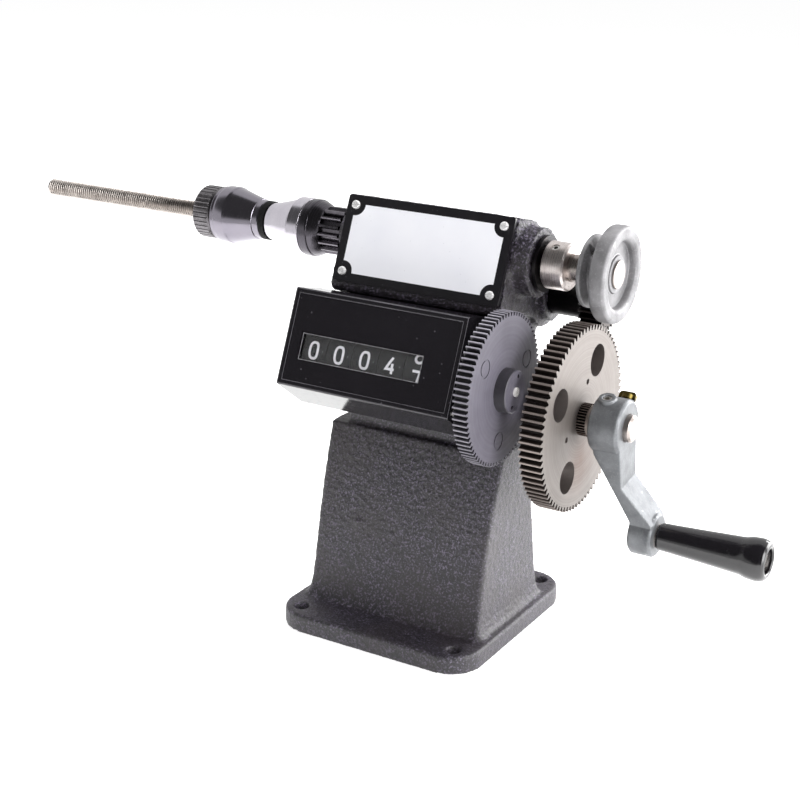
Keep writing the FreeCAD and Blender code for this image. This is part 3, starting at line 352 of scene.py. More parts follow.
# the end of the inner cone is chrome; this darker metal stands for the dark it reflects, a painted reflection
darkReflectionChrome = steel("chrome painted with a dark reflection", spindleAxis, colour="#59565c", stainColour="#343236",
                       rough=0.26, ringRough=0.05, stainAmount=0.4)
brushedCollar = steel("brushed turned collar steel", spindleAxis, colour="#dcd4d1", stainColour="#9b8a83",
                      rough=0.33, stain=3.5, stainAmount=0.45, ring=0.25)
flutedSteel = steel("milled fluted pinion steel", spindleAxis, colour="#77737a", stainColour="#3a3739",
                    rough=0.3, stainAmount=0.6)
blackRubber = mouldedPlastic("moulded black rubber", {
    "cloud": 3.0, "scratch": 1.5, "speck": 2.0, "dustAmount": 0.1, "colour": "#050505",
    "colourHigh": "#0a0a0b", "dust": "#141313", "rough": 0.75, "haze": 0.1, "skin": 0.4, "ior": 1.4})
bronze = steel("oiled sintered bronze", crankAxis, colour="#a77c4c", stainColour="#5d4128", rough=0.4,
               stain=2.0)
counterAbs = mouldedPlastic("glossy black moulded ABS", {
    "cloud": 30.0, "scratch": 2.4, "speck": 5.0, "dustAmount": 0.35, "colour": "#141216",
    "colourHigh": "#1d1b1f", "dust": "#8d8a92", "rough": 0.1, "haze": 0.14, "skin": 0.12, "ior": 1.54})
whiteNylon = mouldedPlastic("moulded white nylon", {
    "cloud": 6.0, "scratch": 2.0, "speck": 3.0, "dustAmount": 0.1, "colour": "#d9d6cc",
    "colourHigh": "#e4e1d9", "dust": "#b3afa4", "rough": 0.4, "haze": 0.1, "skin": 0.4, "ior": 1.53})
wheelPlastic = mouldedPlastic("satin black moulded acetal", {
    "cloud": 5.0, "scratch": 0.9, "speck": 1.6, "dustAmount": 0.35, "colour": "#030303",
    "colourHigh": "#070708", "dust": "#5c5a5f", "rough": 0.3, "haze": 0.15, "skin": 0.5, "ior": 1.3})
bakelite = mouldedPlastic("polished black phenolic", {
    "cloud": 14.0, "scratch": 2.0, "speck": 4.5, "dustAmount": 0.25, "colour": "#0c0a0d",
    "colourHigh": "#121014", "dust": "#4d4950", "rough": 0.16, "haze": 0.16, "skin": 0.2, "ior": 1.6})
digitPrint = mouldedPlastic("white pad printed ink", {
    "cloud": 1.2, "scratch": 0.8, "speck": 0.9, "dustAmount": 0.1, "colour": "#f4f3f4",
    "colourHigh": "#e6e5e8", "dust": "#a9a7ab", "rough": 0.4, "haze": 0.1, "skin": 0.3, "ior": 1.5})
plateEnamel = mouldedPlastic("stoved black enamel on aluminium", {
    "cloud": 8.0, "scratch": 1.6, "speck": 2.6, "dustAmount": 0.5, "colour": "#0f0e10",
    "colourHigh": "#17151a", "dust": "#7d7a80", "rough": 0.3, "haze": 0.16, "skin": 0.4, "ior": 1.5})
platePanel = mouldedPlastic("satin white lacquered aluminium", {
    "cloud": 22.0, "scratch": 1.1, "speck": 3.2, "dustAmount": 0.35, "colour": "#f0f0f4",
    "colourHigh": "#e0e1e9", "dust": "#a5a6ae", "rough": 0.3, "haze": 0.2, "skin": 0.2, "ior": 1.5})
# each gear's flank tones paint shade into its tooth gaps and a highlight onto its tooth tips
driveSteel = cutGear("turned and hobbed gear steel", {
    **crankAxis, "ring": 0.5, "rootR": 36.0, "tipR": 41.0,
    "gapShadeTipHighlightTones": ["#6b6461", "#1b1614", "#2e2724", "#8c827d"], "stain": 11.0, "stainAmount": 0.35,
    "runY": -0.004, "runZ": -19.0, "runReach": 17.0, "runAmount": 0.95, "face": "#736d69",
    "faceShade": "#625a56", "rust": "#5f3f2e", "rough": 0.45, "metallic": 0.6})
darkGear = cutGear("oiled hobbed pinion steel", {
    **idlerAxis, "ring": 0.4, "rootR": 8.7, "tipR": 11.0,
    "gapShadeTipHighlightTones": ["#141212", "#0e0c0c", "#1b1817", "#4a4543"], "stain": 4.0, "stainAmount": 0.6,
    "runY": 0.0, "runZ": 0.0, "runReach": 6.0, "runAmount": 0.2, "face": "#4a4543",
    "faceShade": "#2b2725", "rust": "#4a3428", "rough": 0.4, "metallic": 0.9})
ringSteel = cutGear("oiled serrated ring steel", {
    **crankAxis, "ring": 0.4, "rootR": 6.2, "tipR": 7.2,
    "gapShadeTipHighlightTones": ["#16110f", "#16110f", "#4a3e39", "#8f8580"], "stain": 4.0, "stainAmount": 0.4,
    "runY": 0.0, "runZ": 0.0, "runReach": 8.0, "runAmount": 0.4, "face": "#8d8580",
    "faceShade": "#6c625c", "rust": "#5f4432", "rough": 0.36, "metallic": 0.9})
greyNylon = cutGear("moulded grey nylon", {
    **counterAxis, "ring": 1.4, "rootR": 29.5, "tipR": 32.8,
    "gapShadeTipHighlightTones": ["#2a282d", "#0f0e11", "#2b292f", "#8a8790"], "stain": 14.0, "stainAmount": 0.5,
    "runY": 0.0, "runZ": 0.0, "runReach": 9.0, "runAmount": 0.5, "face": "#5a5761",
    "faceShade": "#3f3d45", "rust": "#2f2d33", "rough": 0.45, "metallic": 0.0})
pulleyMetal = castMetal("turned cast aluminium", {
    "skin": 0.9, "patch": 9.0, "skinTones": ["#5f5e60", "#767577", "#8a898b"], "speck": "#a09fa1",
    "worn": "#aeadaf", "edgeWear": 0.6, "rough": 0.5, "peel": 0.35, "metallic": 0.4})
crankMetal = castMetal("grey zinc die casting", {
    "skin": 0.8, "patch": 7.0, "skinTones": ["#55575a", "#66686b", "#75777a"], "speck": "#87898b",
    "worn": "#a9abad", "edgeWear": 0.6, "rough": 0.42, "peel": 0.4, "metallic": 0.4})
brass = castMetal("tarnished cast brass", {
    "skin": 0.7, "patch": 2.5, "skinTones": ["#1a150b", "#352c18", "#5a4d29"], "speck": "#7d6f3d",
    "worn": "#9c8c4e", "edgeWear": 0.5, "rough": 0.42, "peel": 0.3, "metallic": 1.0})
zincScrew = castMetal("zinc plated headed steel", {
    "skin": 0.6, "patch": 2.0, "skinTones": ["#8d8a84", "#b3b0ab", "#cfccc8"], "speck": "#dedcd9",
    "worn": "#e6e4e2", "edgeWear": 0.5, "rough": 0.3, "peel": 0.25, "metallic": 1.0})
brightScrew = castMetal("polished headed steel", {
    "skin": 0.6, "patch": 2.0, "skinTones": ["#d5d4d4", "#ecebeb", "#f7f6f6"], "speck": "#ffffff",
    "worn": "#ffffff", "edgeWear": 0.5, "rough": 0.3, "peel": 0.15, "metallic": 0.45})
# painted highlight: a pale speckled line that marks the pane's edge round the window and stands for the glint
# on it
windowEdgeGlint = mouldedPlastic("acrylic pane edge with a painted glint", {
    "cloud": 1.6, "scratch": 0.5, "speck": 0.8, "dustAmount": 0.9, "colour": "#1d1c1f",
    "colourHigh": "#b9b7bc", "dust": "#f3f2f5", "rough": 0.35, "haze": 0.2, "skin": 0.6, "ior": 1.49})
# painted highlight: thin pale lines that stand for the light caught along the counter face's moulded edges
edgeHighlightLines = mouldedPlastic("black ABS with painted highlight lines on its edges", {
    "cloud": 12.0, "scratch": 0.6, "speck": 1.1, "dustAmount": 0.8, "colour": "#2b292e",
    "colourHigh": "#8d8a91", "dust": "#c9c7cd", "rough": 0.3, "haze": 0.2, "skin": 0.3, "ior": 1.54})
paneAcrylic = clearAcrylic("polished clear acrylic", {
    "smear": 6.0, "haze": 0.06, "colour": "#fbfbfd", "ior": 1.49})
print("finishes ready")


# Making and dressing pieces

def dress(piece, material):
    piece.data.materials.clear()
    piece.data.materials.append(material)


def newPiece(name, mesh, body, material, stands=()):
    piece = bpy.data.objects.new(name, mesh)
    bpy.context.scene.collection.objects.link(piece)
    dress(piece, material)
    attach(piece, body)
    if stands:
        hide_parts(*stands)
    return piece


def smoothShade(piece, angle):
    for face in piece.data.polygons:
        face.use_smooth = True
    sharp = math.radians(angle)
    work = bmesh.new()
    work.from_mesh(piece.data)
    for edge in work.edges:
        edge.smooth = len(edge.link_faces) == 2 and edge.calc_face_angle(math.pi) < sharp
    work.to_mesh(piece.data)
    work.free()


def roundEdges(piece, width, segments=2, angle=30.0):
    bevel = piece.modifiers.new("rounded edges", "BEVEL")
    bevel.width = width * mm
    bevel.segments = segments
    bevel.limit_method = "ANGLE"
    bevel.angle_limit = math.radians(angle)


def outwardMesh(work, name):
    # the worked faces as a mesh, all turned to face outward
    bmesh.ops.recalc_face_normals(work, faces=work.faces)
    mesh = bpy.data.meshes.new(name)
    work.to_mesh(mesh)
    work.free()
    return mesh


def lathe(profile, axis, steps=128):
    # a closed outline of (x, radius) points turned about an axis along X
    work = bmesh.new()
    loops = []
    for x, r in profile:
        if r <= 0:
            loops.append([work.verts.new((x * mm, axis["axisY"] * mm, axis["axisZ"] * mm))] * steps)
            continue
        loop = []
        for step in range(steps):
            turn = 2 * math.pi * step / steps
            y = axis["axisY"] + r * math.cos(turn)
            z = axis["axisZ"] + r * math.sin(turn)
            loop.append(work.verts.new((x * mm, y * mm, z * mm)))
        loops.append(loop)
    for first, second in zip(loops, loops[1:] + loops[:1]):
        for step in range(steps):
            after = (step + 1) % steps
            corners = [first[step], first[after], second[after], second[step]]
            kept = [v for k, v in enumerate(corners) if v not in corners[:k]]
            if len(kept) > 2:
                work.faces.new(kept)
    return outwardMesh(work, "turned")


# corners of a turned outline sharper than this stay sharp and are rounded off
turnedCrease = 14.0


def turnedPiece(name, look, axis, body, material, stands):
    # an outline of (x, radius) points turned round its bore; no bore is a bore of 0
    outline = look["outline"]
    profile = [(outline[0][0], look["bore"])] + outline + [(outline[-1][0], look["bore"])]
    piece = newPiece(name, lathe(profile, axis), body, material, stands)
    smoothShade(piece, turnedCrease)
    roundEdges(piece, look["edge"], 3, turnedCrease)
    return piece


# Casting

casting = {"voxel": 0.85, "passes": 1, "grain": 1.5, "octaves": 2, "lump": 5.5, "grainShare": 0.75,
           "lumpShare": 0.35, "pedestalDepth": 0.32, "baseDepth": 0.16, "baseTop": 10.5, "headDepth": 0.75,
           "headFrom": 148.0, "headBlend": 12.0, "headRight": 30.0, "headRightBlend": 8.0}


def castForm(node, look, rise):
    # a piece's own shape as one even skin, softened, with each point then moved along its normal
    source = nodes[node]
    remesh = source.modifiers.new("skin", "REMESH")
    remesh.mode = "VOXEL"
    remesh.voxel_size = look["voxel"] * mm
    graph = bpy.context.evaluated_depsgraph_get()
    mesh = bpy.data.meshes.new_from_object(source.evaluated_get(graph))
    source.modifiers.remove(remesh)
    work = bmesh.new()
    work.from_mesh(mesh)
    for _ in range(look["passes"]):
        bmesh.ops.smooth_vert(
            work, verts=work.verts, factor=0.5, use_axis_x=True, use_axis_y=True, use_axis_z=True)
    work.normal_update()
    for vert in work.verts:
        vert.co += vert.normal * rise(vert.co / mm, look) * mm
    for face in work.faces:
        face.smooth = True
    work.to_mesh(mesh)
    work.free()
    return mesh


def within(value):
    return max(0.0, min(1.0, value))


def sandSurface(point, look):
    # the sand's grains and lumps sink the surface, deepest at the right of the head;
    # nothing rises above the CAD form
    depth = look["baseDepth"] if point.z < look["baseTop"] else look["pedestalDepth"]
    headShare = within((point.z - look["headFrom"]) / look["headBlend"])
    headShare *= within((point.x - look["headRight"]) / look["headRightBlend"])
    depth += (look["headDepth"] - depth) * headShare
    grain = min(1.0, noise.turbulence(point / look["grain"], look["octaves"], False))
    lump = noise.noise(point / look["lump"])
    return depth * ((grain - 1.0) * look["grainShare"] + (lump - 1.0) / 2 * look["lumpShare"])


castBody = newPiece("cast_body", castForm("body_casting", casting, sandSurface), "frame", castIron,
                    ["body_casting"])
print("casting skinned:", len(castBody.data.polygons), "faces")


# Threaded rod and shaft

rod = {"tip": -220.6, "shoulder": -43.0, "neckX": -124.2, "neckR": 3.75, "crestR": 4.0, "rootR": 3.3,
       "pitch": 1.25, "steps": 36, "chamfer": 1.2, "crestShare": 0.2, "rootShare": 0.2, "weld": 0.0004,
       "crease": 25.0}
shaft = {"bore": 0, "edge": 0.5, "outline": [(rod["shoulder"], 5.6), (rod["shoulder"], 6.0), (88.6, 6.0)]}


def threadedBar(look):
    # a helix cut into the bar: each turn has a crest, two flanks and a root
    work = bmesh.new()
    flank = (1 - look["crestShare"] - look["rootShare"]) / 2
    shape = [(0.0, look["crestR"]), (look["crestShare"], look["crestR"]),
             (look["crestShare"] + flank, look["rootR"]), (1 - flank, look["rootR"])]
    turns = int((look["shoulder"] - look["tip"]) / look["pitch"]) + 1
    rows = []
    for step in range(look["steps"]):
        share = step / look["steps"]
        turn = 2 * math.pi * share
        row = []
        for k in range(-1, turns):
            for offset, r in shape:
                x = look["tip"] + (k + offset + share) * look["pitch"]
                x = max(look["tip"], min(look["shoulder"], x))
                r = min(r, look["crestR"] - look["chamfer"] + (x - look["tip"]))
                if x > look["neckX"]:
                    r = min(r, look["neckR"])
                y = r * math.cos(turn)
                z = spindleAxis["axisZ"] + r * math.sin(turn)
                row.append(work.verts.new((x * mm, y * mm, z * mm)))
        rows.append(row)
    # the row after the last is the first one, one turn further along
    rows.append(rows[0][len(shape):])
    for row, after in zip(rows, rows[1:]):
        for corners in zip(row, row[1:], after[1:], after):
            work.faces.new(corners)
    bmesh.ops.remove_doubles(work, verts=work.verts, dist=look["weld"] * mm)
    bmesh.ops.holes_fill(work, edges=[e for e in work.edges if e.is_boundary], sides=0)
    return outwardMesh(work, "threaded bar")


threadedRod = newPiece("threaded_rod", threadedBar(rod), "spindle", nickelSteel,
                       ["spindle_shaft"])
smoothShade(threadedRod, rod["crease"])
turnedPiece("ground_shaft", shaft, spindleAxis, "spindle", groundSteel, ["spindle_shaft"])
print("rod threaded")


# Winding clamp and cones

outerCone = {"bore": 4.05, "edge": 0.3, "outline": [
    (-113.0, 11.9), (-112.7, 12.5), (-112.2, 12.8), (-110.8, 12.8), (-110.4, 12.9), (-110.0, 13.25),
    (-109.6, 13.3), (-105.2, 13.3), (-104.6, 13.15), (-104.2, 12.85), (-101.0, 12.0), (-97.6, 11.05),
    (-94.2, 10.15), (-91.4, 9.45), (-91.2, 9.2), (-91.1, 9.0), (-88.5, 9.0), (-88.1, 8.8), (-88.0, 8.6)]}
innerCone = {"bore": 4.05, "edge": 0.3, "outline": [
    (-84.9, 8.0), (-84.6, 8.45), (-84.0, 8.6), (-82.4, 8.8), (-80.0, 9.35), (-77.0, 10.15),
    (-74.0, 11.0), (-71.6, 11.7), (-70.2, 12.1), (-69.9, 12.4), (-69.7, 12.85), (-69.3, 13.1),
    (-63.6, 13.1), (-63.3, 12.9)]}
# the inner cone's end: its dark finish is a painted reflection of the dark surroundings in chrome
coneEnd = {"bore": 4.05, "edge": 0.3, "outline": [
    (-63.3, 12.7), (-63.0, 13.0), (-62.7, 13.1), (-59.3, 13.1), (-58.8, 12.9), (-58.6, 12.6),
    (-57.6, 12.35), (-56.4, 11.85), (-55.2, 11.2), (-54.2, 10.5), (-53.6, 9.8)]}
turnedPiece("outer_cone_turned", outerCone, spindleAxis, "winding_clamp", blackNickel,
            ["outer_cone"])
turnedPiece("inner_cone_turned", innerCone, spindleAxis, "spindle", paleNickel, ["inner_cone"])
turnedPiece("inner_cone_end", coneEnd, spindleAxis, "spindle", darkReflectionChrome, ["inner_cone"])
print("cones turned")


# Pulley with its rounded rim, V groove and set-screw hole

pulley = {"bore": 6.0, "edge": 0.35, "holeR": 2.0, "holeX": 79.5, "holeAngle": 122.0, "holeFrom": 9.5,
          "holeReach": 16.0, "holeSteps": 32, "outline": [
    (75.4, 14.6), (75.6, 15.2), (76.1, 15.5), (77.1, 15.5), (77.5, 15.2), (78.7, 11.6), (79.1, 11.2),
    (79.9, 11.2), (80.3, 11.6), (81.1, 14.7), (81.5, 15.2), (82.1, 15.4), (82.6, 16.2), (82.9, 17.9),
    (83.1, 19.3), (83.5, 20.1), (84.2, 20.5), (85.2, 20.6), (88.4, 20.6), (89.3, 20.4), (89.9, 19.9),
    (90.2, 19.2), (90.2, 16.2), (90.0, 15.4), (89.4, 14.6), (88.6, 14.2), (86.8, 13.9), (86.6, 13.4),
    (86.6, 8.6), (86.8, 8.2), (87.6, 7.9)]}


def boreHole(piece, look, axis):
    # a radial hole drilled from outside, cut from the final mesh
    turn = math.radians(look["holeAngle"])
    out = Vector((0.0, math.cos(turn), math.sin(turn)))
    foot = Vector((look["holeX"], axis["axisY"], axis["axisZ"]))
    middle = look["holeFrom"] + look["holeReach"] / 2
    work = bmesh.new()
    bmesh.ops.create_cone(work, cap_ends=True, segments=look["holeSteps"], radius1=look["holeR"] * mm,
                          radius2=look["holeR"] * mm, depth=look["holeReach"] * mm)
    cutter = bpy.data.objects.new("drill", outwardMesh(work, "drill"))
    bpy.context.scene.collection.objects.link(cutter)
    facing = out.to_track_quat("Z", "X").to_matrix().to_4x4()
    cutter.matrix_world = Matrix.Translation((foot + out * middle) * mm) @ facing
    drill = piece.modifiers.new("drill", "BOOLEAN")
    drill.operation = "DIFFERENCE"
    drill.solver = "EXACT"
    drill.object = cutter
    bpy.context.view_layer.update()
    graph = bpy.context.evaluated_depsgraph_get()
    piece.data = bpy.data.meshes.new_from_object(piece.evaluated_get(graph))
    piece.modifiers.clear()
    bpy.data.objects.remove(cutter)


pulleyPiece = turnedPiece("pulley_turned", pulley, spindleAxis, "spindle", pulleyMetal,
                          ["pulley"])
boreHole(pulleyPiece, pulley, spindleAxis)
print("pulley turned")


# Handle grip with its end bead

grip = {"bore": 3.55, "edge": 0.3, "outline": [
    (111.5, 5.1), (111.7, 5.6), (112.4, 6.1), (118.0, 6.35), (126.8, 6.85), (135.0, 7.35),
    (141.6, 7.75), (147.6, 8.15), (149.6, 8.4), (150.9, 8.85), (152.4, 9.15), (154.6, 9.35),
    (156.4, 9.38), (158.0, 9.1), (159.4, 8.45), (160.1, 7.6), (160.4, 6.7), (160.2, 5.9), (159.8, 5.5),
    (155.6, 5.2), (155.5, 4.9)]}
turnedPiece("grip_turned", grip, handleAxis, "handle", bakelite, ["handle_grip"])
print("grip turned")


# Crank arm: the CAD form softened like a casting

crankCast = {"voxel": 0.36, "passes": 2, "peel": 0.035, "sink": 0.6, "grain": 1.2}


def peelSurface(point, look):
    # a faint orange-peel, sunk so that it stays inside the CAD form
    return (noise.noise(point / look["grain"]) - look["sink"]) * look["peel"]


newPiece("crank_arm_cast", castForm("crank_arm", crankCast, peelSurface), "crank", crankMetal,
         ["crank_arm"])
print("crank arm softened")


# Number wheels: black wheels with white digits 0 to 9

wheels = {**counterAxis, "radius": 17.0, "facing": 157.65, "step": 36.0,
          "centres": [-29.4, -16.6, -3.8, 9.0, 21.8], "reading": [0, 0, 0, 4, 7.36],
          "names": ["ten_thousands", "thousands", "hundreds", "tens", "units"]}
digits = {"halfHeight": 3.5, "halfWidth": 1.95, "stroke": 1.15, "squareness": 0.72, "dotX": 4.5,
          "dotWidth": 0.3, "ink": 0.06, "inkSunk": 0.02, "longestPart": 0.7, "mitre": 0.45}


def arc(middle, size, start, end, count=14):
    # points of an elliptical stretch, angles in degrees from the right
    turns = [math.radians(start + (end - start) * k / count) for k in range(count + 1)]
    return [(middle[0] + size[0] * math.cos(t), middle[1] + size[1] * math.sin(t)) for t in turns]


def ovalDigit(squareness, count=40):
    # an oval with squared shoulders
    turns = [2 * math.pi * k / count for k in range(count)]
    return [(math.copysign(abs(math.cos(t)) ** squareness, math.cos(t)),
             math.copysign(abs(math.sin(t)) ** squareness, math.sin(t))) for t in turns]


# every digit is one or two pen strokes in a box from -1 to 1 both ways; True closes a stroke
sixHook = arc((0.2, 0.1), (1.2, 0.9), 62, 180) + [(-1.0, -0.35)]
digitStrokes = {
    0: [(ovalDigit(digits["squareness"]), True)],
    1: [([(-0.55, 0.6), (0.1, 1.0), (0.1, -1.0)], False)],
    2: [(arc((0.0, 0.45), (0.95, 0.55), 170, -35) + [(-1.0, -1.0), (1.0, -1.0)], False)],
    3: [(arc((-0.05, 0.5), (0.9, 0.5), 150, -90), False),
        (arc((-0.05, -0.5), (1.0, 0.5), 90, -150), False)],
    4: [([(0.3, 1.0), (-1.0, -0.45), (1.0, -0.45)], False), ([(0.45, 0.25), (0.45, -1.0)], False)],
    5: [([(0.85, 1.0), (-0.75, 1.0), (-0.85, 0.05)] + arc((-0.05, -0.38), (1.0, 0.62), 140, -150), False)],
    6: [(sixHook, False), (arc((0.0, -0.4), (1.0, 0.6), 0, 345), True)],
    7: [([(-1.0, 1.0), (0.95, 1.0), (0.0, -1.0)], False)],
    8: [(arc((0.0, 0.5), (0.85, 0.5), 0, 345), True), (arc((0.0, -0.48), (1.0, 0.52), 0, 345), True)],
    9: [([(-x, -y) for x, y in sixHook], False), (arc((0.0, 0.4), (1.0, 0.6), 0, 345), True)],
}


def penStroke(points, closed, width):
    # a flat ribbon of even width along the points, mitred at each bend; one quad for each short length
    dense = []
    count = len(points)
    for k in range(count if closed else count - 1):
        a, b = Vector(points[k]), Vector(points[(k + 1) % count])
        parts = max(1, int((b - a).length / digits["longestPart"]))
        dense += [a.lerp(b, n / parts) for n in range(parts)]
    if not closed:
        dense.append(Vector(points[-1]))
    flat = []
    last = len(dense) - 1
    for k, point in enumerate(dense):
        before = dense[k - 1] if closed or k > 0 else point
        after = dense[(k + 1) % len(dense)] if closed or k < last else point
        first = (point - before).normalized() if before != point else (after - point).normalized()
        second = (after - point).normalized() if after != point else first
        along = (first + second).normalized()
        spread = width / 2 / max(digits["mitre"], along.dot(second))
        out = Vector((-along.y, along.x)) * spread
        flat += [point + out, point - out]
    quads = [[2 * k, 2 * k + 1, 2 * k + 3, 2 * k + 2] for k in range(last)]
    if closed:
        quads.append([2 * last, 2 * last + 1, 1, 0])
    return flat, quads


def digitShape(digit, look):
    # the digit's strokes in millimetres, with the small index dot to its right
    points, quads = [], []
    strokes = [([(x * look["halfWidth"], y * look["halfHeight"]) for x, y in path], closed, look["stroke"])
               for path, closed in digitStrokes[digit]]
    dotHalf = look["dotWidth"] / 2
    strokes.append(([(look["dotX"] - dotHalf, 0.0), (look["dotX"] + dotHalf, 0.0)], False, look["dotWidth"]))
    for path, closed, width in strokes:
        flat, faces = penStroke(path, closed, width)
        quads += [[i + len(points) for i in face] for face in faces]
        points += flat
    return points, quads


def printedDigits(look, wheel):
    # the ten digits wrapped round one wheel, each a thin layer of ink with closed sides
    mesh = bpy.data.meshes.new("digits")
    verts, faces = [], []
    centreX = look["centres"][wheel]
    for digit in digitStrokes:
        turn = look["facing"] - look["step"] * (digit - look["reading"][wheel])
        points, shapes = shapesOf[digit]
        start = len(verts)
        for layer in (0.0, digits["ink"]):
            for p in points:
                angle = math.radians(turn) - p.y / look["radius"]
                r = look["radius"] - digits["inkSunk"] + layer
                y = look["axisY"] + r * math.cos(angle)
                z = look["axisZ"] + r * math.sin(angle)
                verts.append(((centreX + p.x) * mm, y * mm, z * mm))
        count = len(points)
        edges = set()
        for shape in shapes:
            faces.append([start + count + i for i in shape])
            faces.append([start + i for i in reversed(shape)])
            edges.update(zip(shape, shape[1:] + shape[:1]))
        for a, b in sorted(edges):
            if (b, a) not in edges:
                faces.append([start + a, start + b, start + count + b, start + count + a])
    mesh.from_pydata(verts, [], faces)
    work = bmesh.new()
    work.from_mesh(mesh)
    bmesh.ops.recalc_face_normals(work, faces=work.faces)
    work.to_mesh(mesh)
    work.free()
    return mesh


shapesOf = {digit: digitShape(digit, digits) for digit in digitStrokes}
for wheel, name in enumerate(wheels["names"]):
    newPiece("digits_" + name, printedDigits(wheels, wheel), "wheel_" + name, digitPrint)
print("digits printed")


# Counter face: a raised moulded rim, two painted highlight lines along its edges and a painted glint line
# round the window

counterFace = {"lowY": -58.5, "lowZ": 120.6, "highY": -42.3, "highZ": 160.0, "x0": -43.0, "x1": 41.8,
               "windowX0": -34.8, "windowX1": 24.4, "windowLow": 12.3, "windowHigh": 23.4}
faceRun = Vector((0.0, counterFace["highY"] - counterFace["lowY"],
                  counterFace["highZ"] - counterFace["lowZ"]))
faceUp = faceRun.normalized()
faceOut = Vector((0.0, -faceUp.z, faceUp.y))


def onFace(x, up, out):
    point = Vector((x, counterFace["lowY"], counterFace["lowZ"])) + faceUp * up + faceOut * out
    return point * mm


def frameRing(around, look):
    # a flat rectangular ring on the face, inset from the rectangle that it runs round
    x0, x1, low, high = around
    work = bmesh.new()
    loops = []
    inner = look["inset"] + look["width"]
    for inset, out in ((look["inset"], look["foot"]), (look["inset"], look["top"]),
                       (inner, look["top"]), (inner, look["foot"])):
        corners = ((x0 + inset, low + inset), (x1 - inset, low + inset),
                   (x1 - inset, high - inset), (x0 + inset, high - inset))
        loops.append([work.verts.new(onFace(x, up, out)) for x, up in corners])
    for loop, after in zip(loops, loops[1:] + loops[:1]):
        for corners in zip(loop, loop[1:] + loop[:1], after[1:] + after[:1], after):
            work.faces.new(corners)
    return outwardMesh(work, "ring")


wholeFace = (counterFace["x0"], counterFace["x1"], 0.0, faceRun.length)
opening = (counterFace["windowX0"], counterFace["windowX1"], counterFace["windowLow"],
           counterFace["windowHigh"])
# each ring's inset from its rectangle, its width, and how far its foot and top stand off the face
faceRings = [
    ("counter_face_rim", wholeFace, counterAbs, {"inset": 0.55, "width": 1.5, "foot": -0.2, "top": 0.35}),
    # two thin pale rings: painted highlight lines at the face's outer edge and at the rim's inner edge
    ("face_edge_highlight_line", wholeFace, edgeHighlightLines, {"inset": 0.15, "width": 0.3, "foot": -0.18, "top": 0.02}),
    ("face_edge_highlight_line", wholeFace, edgeHighlightLines, {"inset": 2.1, "width": 0.22, "foot": -0.18, "top": 0.02}),
    # a pale ring round the window: the pane's edge, with a painted glint along it
    ("window_glint_line", opening, windowEdgeGlint, {"inset": -0.28, "width": 0.28, "foot": -0.6, "top": -0.45})]
rings = [newPiece(name, frameRing(around, look), "frame", material)
         for name, around, material, look in faceRings]
rimRounding = 0.16
roundEdges(rings[0], rimRounding, 3)
print("counter face trimmed")


# Finishes of the CAD pieces that stay

# corners of the CAD pieces sharper than this are rounded off by the widths below
cadCrease = 32.0
bevels = {
    "drive_gear": 0.12, "counter_gear": 0.12, "fluted_pinion": 0.15, "idler_pinion": 0.12,
    "toothed_ring": 0.06, "collar": 0.2, "nameplate": 0.15, "counter_housing": 0.3,
    "counter_side_cover": 0.3, "winding_nut": 0.1, "gear_cover": 0.25, "handle_pin": 0.2,
    "crank_shaft": 0.2, "shaft_spacer": 0.2, "shaft_end_collar": 0.3, "idler_sleeve": 0.3,
    "spindle_bush_left": 0.25, "spindle_bush_right": 0.25, "crank_wing_screw": 0.25}
wheelBevel = 0.25
finishes = {
    "spindle_bush_left": oxideSteel, "spindle_bush_right": oxideSteel, "crank_bush_left": bronze,
    "crank_bush_right": bronze, "idler_bush_left": bronze, "idler_sleeve": oxideSleeve,
    "gear_cover": oxideSteel, "gear_cover_screws": zincScrew, "nameplate": plateEnamel,
    "nameplate_panel": platePanel, "nameplate_screws": brightScrew, "counter_housing": counterAbs,
    "counter_side_cover": counterAbs, "counter_window": paneAcrylic, "counter_cover_screws": zincScrew,
    "layshaft_stud": counterSteel, "counter_bracket": oxideSteel, "counter_bracket_screws": zincScrew,
    "crank_shaft": crankSteel, "shaft_end_collar": crankSteel, "shaft_spacer": crankSteel,
    "handle_pin": handleSteel, "counter_pinion": ringSteel, "toothed_ring": ringSteel,
    "drive_gear": driveSteel, "crank_grub_screw": zincScrew, "crank_wing_screw": brass,
    "idler_shaft": idlerSteel, "idler_pinion": darkGear, "idler_gear": darkGear,
    "seal_ring": blackRubber, "fluted_pinion": flutedSteel, "spindle_gear": darkGear,
    "collar": brushedCollar, "collar_set_screw": zincScrew, "pulley_set_screw": zincScrew,
    "winding_nut": nutSteel, "clamp_washer": nickelSteel, "counter_gear": greyNylon,
    "counter_shaft": counterSteel, "counter_input_gear": whiteNylon, "counter_layshaft_gear": whiteNylon}
for name in wheels["names"]:
    finishes["number_wheel_" + name] = wheelPlastic
    bevels["number_wheel_" + name] = wheelBevel
for name, material in finishes.items():
    dress(nodes[name], material)
    if name in bevels:
        roundEdges(nodes[name], bevels[name], angle=cadCrease)
print("CAD pieces dressed:", len(finishes))


# Studio: camera, lamps, floor and surround

